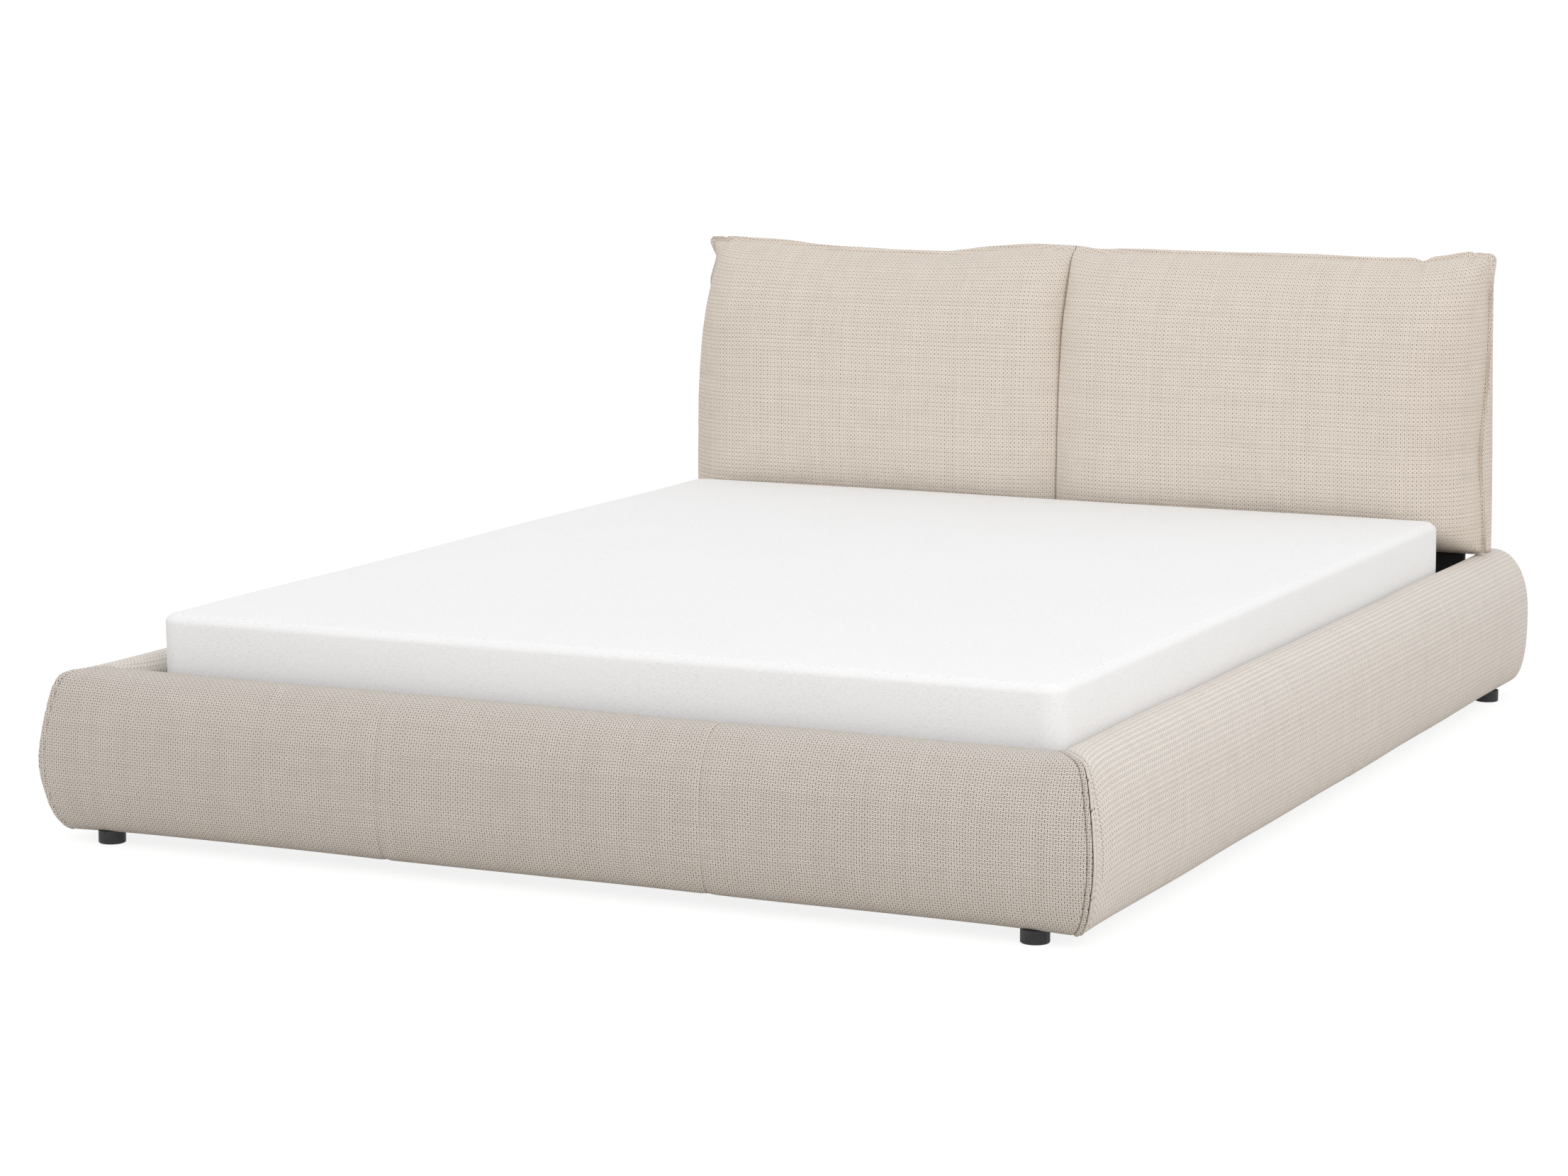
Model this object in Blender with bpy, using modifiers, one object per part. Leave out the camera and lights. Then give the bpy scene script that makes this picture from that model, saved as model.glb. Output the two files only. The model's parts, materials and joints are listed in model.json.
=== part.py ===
"""A low upholstered double bed: padded rails on short feet, a slatted base on a centre beam, a mattress, and a
headboard of two large cushions that meet in a deep crease. Metres, +Z up, foot end at -Y, centred on the floor."""

import math

import bmesh
import bpy
import numpy as np
from mathutils import Matrix, Vector

# Mattress, and the room it has between the rails
MATTRESS_WIDTH = 1.596
MATTRESS_LENGTH = 2.0
MATTRESS_THICKNESS = 0.18
MATTRESS_ROUNDING = 0.045
MATTRESS_EDGE_DROP = 0.004
MATTRESS_SIDE_PLAY = 0.056
MATTRESS_RIGHT_GAP = 0.0035
MATTRESS_FOOT_GAP = 0.026
MATTRESS_HEAD_GAP = 0.165

# Padded rails: the same section on both sides and across the foot end
RAIL_DEPTH = 0.103
RAIL_HEIGHT = 0.264
RAIL_FLOOR_GAP = 0.022
RAIL_CREST = 0.028
RAIL_SOLE = 0.058
RAIL_WIDEST_SHARE = 0.52
RAIL_LOWER_FULLNESS = 2.4
RAIL_END_RADIUS = 0.02
RAIL_OVERRUN = 0.048
RAIL_MITRE_GAP = 0.0025
RAIL_LINING_MARGIN = 0.006
SEAM_HALF_WIDTH = 0.012
SEAM_DEPTH = 0.004
FOOT_SEAM = 0.285
SIDE_SEAM_SHARE = 0.523

# Fabric, boards and the fits between them
FABRIC = 0.002
LINING = 0.0012
FIT = 0.0003
SOFT_FIT = 0.0006
BOARD = 0.018
BOARD_SETBACK = 0.0005
BOARD_FOOT_MARGIN = 0.02
BOARD_TOP_MARGIN = 0.043
BOARD_END_MARGIN = 0.01
WINDOW_MARGIN = 0.002
OVERRUN = 0.01

# Slatted base on two ledgers and a centre beam
SLAT_COUNT = 13
SLAT_WIDTH = 0.07
SLAT_THICKNESS = 0.014
SLAT_EDGE = 0.003
SLAT_TOP = 0.194
SLAT_END_CLEARANCE = 0.0145
SLAT_END_MARGIN = 0.02
WEBBING_WIDTH = 0.025
WEBBING_SHARE = 0.62
LEDGER_WIDTH = 0.025
LEDGER_HEIGHT = 0.04
LEDGER_EDGE = 0.002
LEDGER_END_CLEARANCE = 0.004
BEAM_WIDTH = 0.03
BEAM_HEIGHT = 0.04
BEAM_WALL = 0.002
HANGER_PLATE = 0.003
HANGER_REACH = 0.035
HANGER_CLEARANCE = 0.0008
HANGER_HEIGHT_SHARE = 0.8

# Two legs under the beam, each with a levelling glide on a threaded stem
LEG_RADIUS = 0.014
LEG_PLATE_RADIUS = 0.026
LEG_PLATE = 0.003
LEG_BORE_RADIUS = 0.0048
LEG_STATION_SHARE = 0.17
GLIDE_RADIUS = 0.02
GLIDE_HEIGHT = 0.01
GLIDE_CHAMFER = 0.0015
GLIDE_TRAVEL = 0.012
GLIDE_END_CLEARANCE = 0.006
STEM_RADIUS = 0.004
STEM_LENGTH = 0.055

# Four short plastic feet under the rails
FOOT_RADIUS = 0.0225
FOOT_CHAMFER = 0.0012
FOOT_INSET = 0.054
FOOT_FROM_CORNER = 0.009
FOOT_FROM_REAR = 0.124

# Corner brackets and the bolts that hold them
BRACKET_LEG = 0.05
BRACKET_HEIGHT = 0.095
BRACKET_PLATE = 0.003
BRACKET_LIFT = 0.014
BOLT_LEG_SHARE = 0.62
BOLT_HEIGHT_SHARES = (0.22, 0.78)
BOLT_SIDES = 6
BOLT_HEAD_RADIUS = 0.0075
BOLT_HEAD = 0.005
BOLT_RADIUS = 0.004
BOLT_LENGTH = 0.0185
BOLT_HOLE_RADIUS = 0.0047
BOLT_END_CLEARANCE = 0.001

# Headboard: a timber frame, its cover, and two cushions with a flat edge
HEADBOARD_RISE = 0.5854
HEADBOARD_OVERHANG = 0.028
HEADBOARD_SHIFT = 0.014
FRAME_DEPTH = 0.045
POST_WIDTH = 0.05
POST_INSET = 0.03
STILE_WIDTH = 0.02
CROSS_RAIL_HEIGHT = 0.045
CROSS_RAIL_SHARE = 0.1
COVER_RETURN = 0.04
BACK_LINING_MARGIN = 0.02
FLANGE_WIDTH = 0.018
FLANGE_THICKNESS = 0.004
CUSHION_DEPTH = 0.136
CUSHION_TOP_SAG = 0.012
CUSHION_ROLL_OUTER = 0.12
CUSHION_ROLL_TOP = 0.19
CUSHION_ROLL_BOTTOM = 0.12
CUSHION_ROLL_CREASE = 0.18
CREASE_FOOT_SHARE = 0.78
CUSHION_COLUMN_SHARES = (0.025, 0.09, 0.2, 0.36, 0.55, 0.72, 0.86, 0.95, 0.985)
CUSHION_ROW_SHARES = (0.03, 0.1, 0.24, 0.45, 0.66, 0.83, 0.93, 0.98)

# Facets of the curved outlines
ARC_STEPS = 7
CREST_STEPS = 3
END_STEPS = 4
ROUND_STEPS = 20
SMALL_ROUND_STEPS = 16

# Edges that turn more than this many degrees stay sharp; points closer than this are one
SHARP_ANGLE = 40
SAME_PLACE = 0.0001

# How far the rail's end is rounded, in degrees: the foam stops short of the cover's flat end
COVER_END_TURN = 90
FOAM_END_TURN = 60

# Places worked out from the sizes above
half_clear = (MATTRESS_WIDTH + MATTRESS_SIDE_PLAY) / 2
headboard_depth = FIT + BOARD + FIT + FRAME_DEPTH + FIT + FABRIC
bed_length = (
    RAIL_DEPTH + MATTRESS_FOOT_GAP + MATTRESS_LENGTH + MATTRESS_HEAD_GAP + headboard_depth + RAIL_OVERRUN
)
rail_front = RAIL_DEPTH - bed_length / 2
rail_rear = bed_length / 2
rail_bottom = RAIL_FLOOR_GAP
rail_top = rail_bottom + RAIL_HEIGHT
rail_widest = rail_bottom + RAIL_HEIGHT * RAIL_WIDEST_SHARE
side_seam = rail_front + (rail_rear - rail_front) * SIDE_SEAM_SHARE
board_low = rail_bottom + BOARD_FOOT_MARGIN
board_high = rail_top - BOARD_TOP_MARGIN
board_rear = rail_rear - RAIL_END_RADIUS - BOARD_END_MARGIN
lining_low = rail_bottom + RAIL_LINING_MARGIN
lining_high = rail_top - RAIL_CREST - RAIL_LINING_MARGIN
mattress_front = rail_front + MATTRESS_FOOT_GAP
mattress_rear = mattress_front + MATTRESS_LENGTH
mattress_x = MATTRESS_SIDE_PLAY / 2 - MATTRESS_RIGHT_GAP
head_plane = mattress_rear + MATTRESS_HEAD_GAP
panel_front = head_plane + FIT
frame_front = panel_front + BOARD + FIT
frame_rear = frame_front + FRAME_DEPTH
cover_rear = frame_rear + FIT + FABRIC
head_half = half_clear + HEADBOARD_OVERHANG
head_bottom = rail_top + SOFT_FIT
head_top = head_bottom + HEADBOARD_RISE
body_half = head_half - FLANGE_WIDTH
body_top = head_top - FLANGE_WIDTH - CUSHION_TOP_SAG
well_half = half_clear - FIT - LINING
well_foot = rail_front + FIT + LINING
well_head = head_plane - LINING
slat_low = SLAT_TOP - SLAT_THICKNESS
support_top = slat_low - FIT
beam_front = well_foot + FIT + HANGER_PLATE + HANGER_CLEARANCE
beam_rear = well_head - FIT - HANGER_PLATE - HANGER_CLEARANCE
beam_low = support_top - BEAM_HEIGHT
bracket_low = rail_bottom + BRACKET_LIFT


def clear_scene():
    """Remove what is in the scene, so that the script can run again from the text editor."""
    for item in list(bpy.data.objects):
        bpy.data.objects.remove(item, do_unlink=True)


def new_collection(name):
    collection = bpy.data.collections.new(name)
    bpy.context.scene.collection.children.link(collection)
    return collection


def finish(name, colour, roughness, metallic=0.0):
    """A plain material with the colour, roughness and metallic value of one finish."""
    made = bpy.data.materials.new(name)
    made.use_nodes = True
    shader = made.node_tree.nodes["Principled BSDF"]
    shader.inputs["Base Color"].default_value = (*colour, 1.0)
    shader.inputs["Roughness"].default_value = roughness
    shader.inputs["Metallic"].default_value = metallic
    made.diffuse_color = (*colour, 1.0)
    return made


def empty(name, parent=None):
    made = bpy.data.objects.new(name, None)
    made.parent = parent
    PARTS.objects.link(made)
    return made


def add(name, shape, material, parent, location=(0.0, 0.0, 0.0), turn=0.0):
    """A named piece from a bmesh, with its own copy of the finish, placed under its assembly."""
    mesh = bpy.data.meshes.new(name)
    shape.to_mesh(mesh)
    shape.free()
    made = bpy.data.objects.new(name, mesh)
    made.location = location
    made.rotation_euler = (0.0, 0.0, turn)
    if material is None:
        CUTTERS.objects.link(made)
        made.hide_render = True
        made.display_type = "WIRE"
        return made
    own = material.copy()
    own.name = name
    mesh.materials.append(own)
    made.parent = parent
    PARTS.objects.link(made)
    return made


def bevel(piece, width, segments=1):
    modifier = piece.modifiers.new("rounded edges", "BEVEL")
    modifier.width = width
    modifier.segments = segments
    modifier.limit_method = "ANGLE"


def solidify(piece, thickness, offset):
    modifier = piece.modifiers.new("wall", "SOLIDIFY")
    modifier.thickness = thickness
    modifier.offset = offset
    modifier.use_even_offset = True
    modifier.use_quality_normals = True


def cut(piece, cutter):
    modifier = piece.modifiers.new(cutter.name, "BOOLEAN")
    modifier.operation = "DIFFERENCE"
    modifier.solver = "EXACT"
    modifier.object = cutter


def smooth(piece):
    piece.data.shade_smooth()
    piece.data.set_sharp_from_angle(angle=math.radians(SHARP_ANGLE))


def block(low, high):
    """A cube primitive stretched to the size between two corners, centred on zero."""
    shape = bmesh.new()
    bmesh.ops.create_cube(shape, size=1.0)
    size = [end - start for start, end in zip(low, high)]
    bmesh.ops.scale(shape, vec=size, verts=shape.verts)
    return shape


def box(name, low, high, material, parent, edge=0.0):
    """A box between two corners, its origin at its centre."""
    centre = [(start + end) / 2 for start, end in zip(low, high)]
    made = add(name, block(low, high), material, parent, centre)
    if edge:
        bevel(made, edge)
    return made


def turned(name, profile, material, parent, location, steps):
    """A turned piece: a profile of (radius, height) pairs, outer side downwards, swept round by Screw."""
    shape = bmesh.new()
    points = [shape.verts.new((radius, 0.0, height)) for radius, height in profile]
    for first, second in zip(points, points[1:]):
        shape.edges.new((first, second))
    made = add(name, shape, material, parent, location)
    modifier = made.modifiers.new("turn", "SCREW")
    modifier.steps = steps
    modifier.render_steps = steps
    modifier.use_merge_vertices = True
    modifier.merge_threshold = SAME_PLACE
    modifier.use_smooth_shade = False
    return made


def loft(rings, window=None, window_spans=0, start_cap=True, end_cap=True, mirrored=False):
    """Skin over rings of equally many points. Side number window is left open over the first window_spans."""
    shape = bmesh.new()
    loops = [[shape.verts.new(point) for point in ring] for ring in rings]
    count = len(loops[0])
    for span, (first, second) in enumerate(zip(loops, loops[1:])):
        for side in range(count):
            if side == window and span < window_spans:
                continue
            after = (side + 1) % count
            shape.faces.new((first[side], first[after], second[after], second[side]))
    if start_cap:
        shape.faces.new(reversed(loops[0]))
    if end_cap:
        shape.faces.new(loops[-1])
    if mirrored:
        bmesh.ops.scale(shape, vec=(-1.0, 1.0, 1.0), verts=shape.verts)
        bmesh.ops.reverse_faces(shape, faces=shape.faces)
    return shape


def arc(centre, radii, start, end, steps, fullness=2.0):
    """Points on a quarter of a superellipse, from one angle to another in degrees."""
    angle = np.radians(np.linspace(start, end, steps + 1))
    across = np.sign(np.cos(angle)) * np.abs(np.cos(angle)) ** (2 / fullness)
    upward = np.sign(np.sin(angle)) * np.abs(np.sin(angle)) ** (2 / fullness)
    return np.column_stack([centre[0] + radii[0] * across, centre[1] + radii[1] * upward])


def rail_section(inset, seam=0.0, slotted=False):
    """Outline of a padded rail as (depth, height) pairs, pulled in by inset, and by seam where a seam draws it in.

    It runs up the inner face, over the crest, down the full outer side and back along the sole. The foam's outline
    is slotted for the board; the cover's has a window there.
    """
    crest_height = rail_top - RAIL_CREST
    inner_face = [
        (inset, board_low - WINDOW_MARGIN),
        (inset, board_high + WINDOW_MARGIN),
    ]
    if slotted:
        slot_low, slot_high = board_low - FIT, board_high + FIT
        slot_back = BOARD_SETBACK + BOARD + FIT
        inner_face = [(inset, slot_low), (slot_back, slot_low), (slot_back, slot_high), (inset, slot_high)]
    crest = arc(
        (RAIL_CREST, crest_height),
        (RAIL_CREST - inset, RAIL_CREST - inset - seam),
        180,
        90,
        CREST_STEPS,
    )
    upper = arc(
        (RAIL_CREST, rail_widest),
        (RAIL_DEPTH - RAIL_CREST - inset - seam, rail_top - rail_widest - inset - seam),
        90,
        0,
        ARC_STEPS,
    )
    lower = arc(
        (RAIL_SOLE, rail_widest),
        (RAIL_DEPTH - RAIL_SOLE - inset - seam, rail_widest - rail_bottom - inset - seam),
        0,
        -90,
        ARC_STEPS,
        RAIL_LOWER_FULLNESS,
    )
    heel = [(inset, rail_bottom + inset)]
    return np.concatenate([inner_face, crest, upper[1:], lower[1:], heel])


def board_section():
    """Outline of a rail's board."""
    back = BOARD_SETBACK + BOARD
    return np.array([(BOARD_SETBACK, board_low), (BOARD_SETBACK, board_high), (back, board_high), (back, board_low)])


def ring(section, along, mitre=0.0):
    """Place a section across the rail at one station, slanted by mitre where two rails meet."""
    depth, height = section.T
    return np.column_stack([depth, along + mitre * depth, height])


def seam_rings(station, inset, slotted):
    """Three rings that draw the padding in to one sewn seam."""
    flat = rail_section(inset, 0.0, slotted)
    drawn = rail_section(inset, SEAM_DEPTH, slotted)
    return [
        ring(flat, station - SEAM_HALF_WIDTH),
        ring(drawn, station),
        ring(flat, station + SEAM_HALF_WIDTH),
    ]


def side_rail_rings(inset, end_turn, slotted=False):
    """Rings from the mitre at the foot corner to the end behind the headboard, rounded through end_turn degrees."""
    section = rail_section(inset, 0.0, slotted)
    rings = [ring(section, rail_front + RAIL_MITRE_GAP, -1.0)]
    rings += seam_rings(side_seam, inset, slotted)
    radius = RAIL_END_RADIUS - inset
    for angle in np.radians(np.linspace(0.0, end_turn, END_STEPS + 1)):
        pulled_in = inset + radius * (1 - math.cos(angle))
        along = rail_rear - RAIL_END_RADIUS + radius * math.sin(angle)
        rings.append(ring(rail_section(pulled_in, 0.0, slotted), along))
    return rings


def foot_rail_rings(inset, slotted=False):
    """Rings from mitre to mitre, drawn in at the two seams that divide the foot end into three panels."""
    section = rail_section(inset, 0.0, slotted)
    rings = [ring(section, RAIL_MITRE_GAP - half_clear, -1.0)]
    rings += seam_rings(-FOOT_SEAM, inset, slotted)
    rings += seam_rings(FOOT_SEAM, inset, slotted)
    rings.append(ring(section, half_clear - RAIL_MITRE_GAP, 1.0))
    return rings


def make_side_rail(side, parent):
    """Board, foam, fabric cover and inner lining of one side rail; side is -1 on the left and 1 on the right."""
    hand = "right" if side > 0 else "left"
    mirrored = side < 0
    place = (side * half_clear, 0.0, 0.0)

    timber = board_section()
    shape = loft([ring(timber, rail_front + RAIL_MITRE_GAP, -1.0), ring(timber, board_rear)], mirrored=mirrored)
    board = add(f"side_rail_board_{hand}", shape, PANEL_WOOD, parent, place)
    cut(board, BOLT_HOLES)

    shape = loft(side_rail_rings(FABRIC + SOFT_FIT, FOAM_END_TURN, slotted=True), mirrored=mirrored)
    padding = add(f"side_rail_padding_{hand}", shape, FOAM, parent, place)
    smooth(padding)

    shape = loft(side_rail_rings(0.0, COVER_END_TURN), 0, 4, start_cap=False, mirrored=mirrored)
    cover = add(f"side_rail_cover_{hand}", shape, FABRIC_CLOTH, parent, place)
    solidify(cover, FABRIC, -1.0)
    smooth(cover)

    inner, outer = sorted((side * well_half, side * (half_clear - FIT)))
    lining = box(
        f"side_rail_lining_{hand}",
        (inner, well_foot + FIT, lining_low),
        (outer, rail_rear - RAIL_END_RADIUS, lining_high),
        BLACK_LINING,
        parent,
    )
    cut(lining, BOLT_HOLES)


def make_foot_rail(parent):
    """Board, foam, fabric cover and inner lining across the foot end."""
    place = (0.0, rail_front, 0.0)
    turn = -math.pi / 2
    reach = half_clear - RAIL_MITRE_GAP

    timber = board_section()
    shape = loft([ring(timber, -reach, -1.0), ring(timber, reach, 1.0)])
    board = add("foot_rail_board", shape, PANEL_WOOD, parent, place, turn)
    cut(board, BOLT_HOLES)

    shape = loft(foot_rail_rings(FABRIC + SOFT_FIT, slotted=True))
    padding = add("foot_rail_padding", shape, FOAM, parent, place, turn)
    smooth(padding)

    rings = foot_rail_rings(0.0)
    shape = loft(rings, 0, len(rings), start_cap=False, end_cap=False)
    cover = add("foot_rail_cover", shape, FABRIC_CLOTH, parent, place, turn)
    solidify(cover, FABRIC, -1.0)
    smooth(cover)

    lining = box(
        "foot_rail_lining",
        (FIT - half_clear, rail_front + FIT, lining_low),
        (half_clear - FIT, well_foot, lining_high),
        BLACK_LINING,
        parent,
    )
    cut(lining, BOLT_HOLES)


def bracket_shape():
    """An angle bracket: two plates that meet in an upright corner, opening towards +X and +Y."""
    shape = bmesh.new()
    corners = ((BRACKET_LEG, 0.0), (0.0, 0.0), (0.0, BRACKET_LEG))
    low = [shape.verts.new((x, y, 0.0)) for x, y in corners]
    high = [shape.verts.new((x, y, BRACKET_HEIGHT)) for x, y in corners]
    for first in range(2):
        shape.faces.new((low[first], low[first + 1], high[first + 1], high[first]))
    return shape


def bracket_places():
    """Name, corner position and turn of each corner bracket."""
    across, foot, head = well_half - FIT, well_foot + FIT, well_head - FIT
    return (
        ("front_left", (-across, foot), 0.0),
        ("front_right", (across, foot), math.pi / 2),
        ("rear_right", (across, head), math.pi),
        ("rear_left", (-across, head), -math.pi / 2),
    )


def bolt_frames():
    """Where each bolt sits on one bracket: the seat of its head, with +Z out of the plate."""
    frames = []
    along = BRACKET_LEG * BOLT_LEG_SHARE
    for share in BOLT_HEIGHT_SHARES:
        height = BRACKET_HEIGHT * share
        on_x_leg = Matrix.Translation((along, BRACKET_PLATE, height)) @ Matrix.Rotation(-math.pi / 2, 4, "X")
        on_y_leg = Matrix.Translation((BRACKET_PLATE, along, height)) @ Matrix.Rotation(math.pi / 2, 4, "Y")
        frames += [on_x_leg, on_y_leg]
    return frames


def bolt_pins(radius, length, frames):
    """One six-sided pin at each frame, from a little way out of the plate to its length below it."""
    shape = bmesh.new()
    for frame in frames:
        bmesh.ops.create_cone(
            shape,
            cap_ends=True,
            segments=BOLT_SIDES,
            radius1=radius,
            radius2=radius,
            depth=length + OVERRUN,
            matrix=frame @ Matrix.Translation((0.0, 0.0, (OVERRUN - length) / 2)),
        )
    return shape


def make_bolt_holes():
    """The cutter for every bolt hole, through the linings and blind in the boards."""
    frames = []
    for _, (x, y), turn in bracket_places():
        corner = Matrix.Translation((x, y, bracket_low)) @ Matrix.Rotation(turn, 4, "Z")
        frames += [corner @ frame for frame in bolt_frames()]
    return add("bolt_holes", bolt_pins(BOLT_HOLE_RADIUS, BOLT_LENGTH + BOLT_END_CLEARANCE, frames), None, None)


def bolt_shape():
    """Four bolts of one bracket: a hexagon head on its seat and a shank through the plate."""
    shape = bmesh.new()
    for frame in bolt_frames():
        for radius, top, low in (
            (BOLT_HEAD_RADIUS, BOLT_HEAD, -BRACKET_PLATE / 2),
            (BOLT_RADIUS, -BRACKET_PLATE / 2, -BOLT_LENGTH),
        ):
            bmesh.ops.create_cone(
                shape,
                cap_ends=True,
                segments=BOLT_SIDES,
                radius1=radius,
                radius2=radius,
                depth=top - low,
                matrix=frame @ Matrix.Translation((0.0, 0.0, (top + low) / 2)),
            )
    return shape


def make_corner_hardware(parent):
    """Four angle brackets, each joined with the four bolts that hold it to two boards."""
    for name, (x, y), turn in bracket_places():
        place = (x, y, bracket_low)
        made = add(f"corner_bracket_{name}", bracket_shape(), ZINC, parent, place, turn)
        solidify(made, BRACKET_PLATE, 1.0)
        modifier = made.modifiers.new("bolts", "BOOLEAN")
        modifier.operation = "UNION"
        modifier.solver = "EXACT"
        modifier.object = add(f"bolts_{name}", bolt_shape(), None, None, place, turn)


def make_slatted_base(parent):
    """Slats on two ledgers and the centre beam, held at their spacing by two webbing bands."""
    for side, hand in ((-1, "left"), (1, "right")):
        near, far = sorted((side * (well_half - FIT), side * (well_half - FIT - LEDGER_WIDTH)))
        box(
            f"slat_ledger_{hand}",
            (near, well_foot + LEDGER_END_CLEARANCE, support_top - LEDGER_HEIGHT),
            (far, well_head - LEDGER_END_CLEARANCE, support_top),
            PINE,
            parent,
            LEDGER_EDGE,
        )

    half_slat = well_half - SLAT_END_CLEARANCE
    first = mattress_front + SLAT_END_MARGIN + SLAT_WIDTH / 2
    last = mattress_rear - SLAT_END_MARGIN - SLAT_WIDTH / 2
    for index, station in enumerate(np.linspace(first, last, SLAT_COUNT), 1):
        box(
            f"slat_{index:02d}",
            (-half_slat, station - SLAT_WIDTH / 2, slat_low),
            (half_slat, station + SLAT_WIDTH / 2, SLAT_TOP),
            POPLAR,
            parent,
            SLAT_EDGE,
        )

    for side, hand in ((-1, "left"), (1, "right")):
        middle = side * half_slat * WEBBING_SHARE
        box(
            f"slat_webbing_{hand}",
            (middle - WEBBING_WIDTH / 2, first - SLAT_WIDTH / 2, slat_low - FIT - LINING),
            (middle + WEBBING_WIDTH / 2, last + SLAT_WIDTH / 2, slat_low - FIT),
            WEBBING,
            parent,
        )


def make_centre_beam(parent):
    """A rectangular steel tube under the middle of the slats, in a hanger at each end."""
    low = (-BEAM_WIDTH / 2, beam_front, beam_low)
    high = (BEAM_WIDTH / 2, beam_rear, support_top)
    shape = block(low, high)
    ends = [face for face in shape.faces if abs(face.normal.y) > abs(face.normal.x) + abs(face.normal.z)]
    bmesh.ops.delete(shape, geom=ends, context="FACES_ONLY")
    beam = add("centre_beam", shape, DARK_STEEL, parent, [(a + b) / 2 for a, b in zip(low, high)])
    solidify(beam, BEAM_WALL, -1.0)

    half_slot = BEAM_WIDTH / 2 + HANGER_CLEARANCE
    half_outer = half_slot + HANGER_PLATE
    slot_low = beam_low - FIT
    top = slot_low + BEAM_HEIGHT * HANGER_HEIGHT_SHARE
    for name, wall, inward in (("front", well_foot, 1.0), ("rear", well_head, -1.0)):
        back = wall + inward * FIT
        reach = back + inward * HANGER_REACH
        face = back + inward * HANGER_PLATE
        past = reach + inward * OVERRUN
        hanger = box(
            f"beam_hanger_{name}",
            (-half_outer, min(back, reach), slot_low - HANGER_PLATE),
            (half_outer, max(back, reach), top),
            DARK_STEEL,
            parent,
        )
        slot = box(
            f"beam_slot_{name}",
            (-half_slot, min(face, past), slot_low),
            (half_slot, max(face, past), top + OVERRUN),
            None,
            None,
        )
        cut(hanger, slot)


def make_centre_legs(parent):
    """Two tube legs under the beam, each with a glide that screws in and out to level it."""
    leg_top = beam_low - FIT
    leg_low = GLIDE_HEIGHT + GLIDE_TRAVEL + GLIDE_END_CLEARANCE
    stem_top = GLIDE_HEIGHT + STEM_LENGTH
    bore_top = stem_top + GLIDE_TRAVEL + GLIDE_END_CLEARANCE
    leg_profile = (
        (0.0, leg_top),
        (LEG_PLATE_RADIUS, leg_top),
        (LEG_PLATE_RADIUS, leg_top - LEG_PLATE),
        (LEG_RADIUS, leg_top - LEG_PLATE),
        (LEG_RADIUS, leg_low),
        (LEG_BORE_RADIUS, leg_low),
        (LEG_BORE_RADIUS, bore_top),
        (0.0, bore_top),
    )
    glide_profile = (
        (0.0, stem_top),
        (STEM_RADIUS, stem_top),
        (STEM_RADIUS, GLIDE_HEIGHT),
        (GLIDE_RADIUS, GLIDE_HEIGHT),
        (GLIDE_RADIUS, GLIDE_CHAMFER),
        (GLIDE_RADIUS - GLIDE_CHAMFER, 0.0),
        (0.0, 0.0),
    )
    reach = (beam_rear - beam_front) * LEG_STATION_SHARE
    middle = (beam_rear + beam_front) / 2
    for name, station in (("front", middle - reach), ("rear", middle + reach)):
        place = (0.0, station, 0.0)
        turned(f"centre_leg_{name}", leg_profile, DARK_STEEL, parent, place, SMALL_ROUND_STEPS)
        turned(f"levelling_glide_{name}", glide_profile, BLACK_PLASTIC, parent, place, SMALL_ROUND_STEPS)


def make_feet(parent):
    """Four plastic feet: two under the foot rail by its corners, two under the side rails near the rear."""
    profile = (
        (0.0, rail_bottom - FIT),
        (FOOT_RADIUS, rail_bottom - FIT),
        (FOOT_RADIUS, FOOT_CHAMFER),
        (FOOT_RADIUS - FOOT_CHAMFER, 0.0),
        (0.0, 0.0),
    )
    front = (half_clear - FOOT_FROM_CORNER, rail_front - FOOT_INSET)
    rear = (half_clear + FOOT_INSET, rail_rear - FOOT_FROM_REAR)
    for side, hand in ((-1, "left"), (1, "right")):
        for end, (x, y) in (("front", front), ("rear", rear)):
            turned(f"foot_{end}_{hand}", profile, BLACK_PLASTIC, parent, (side * x, y, 0.0), ROUND_STEPS)


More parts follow.
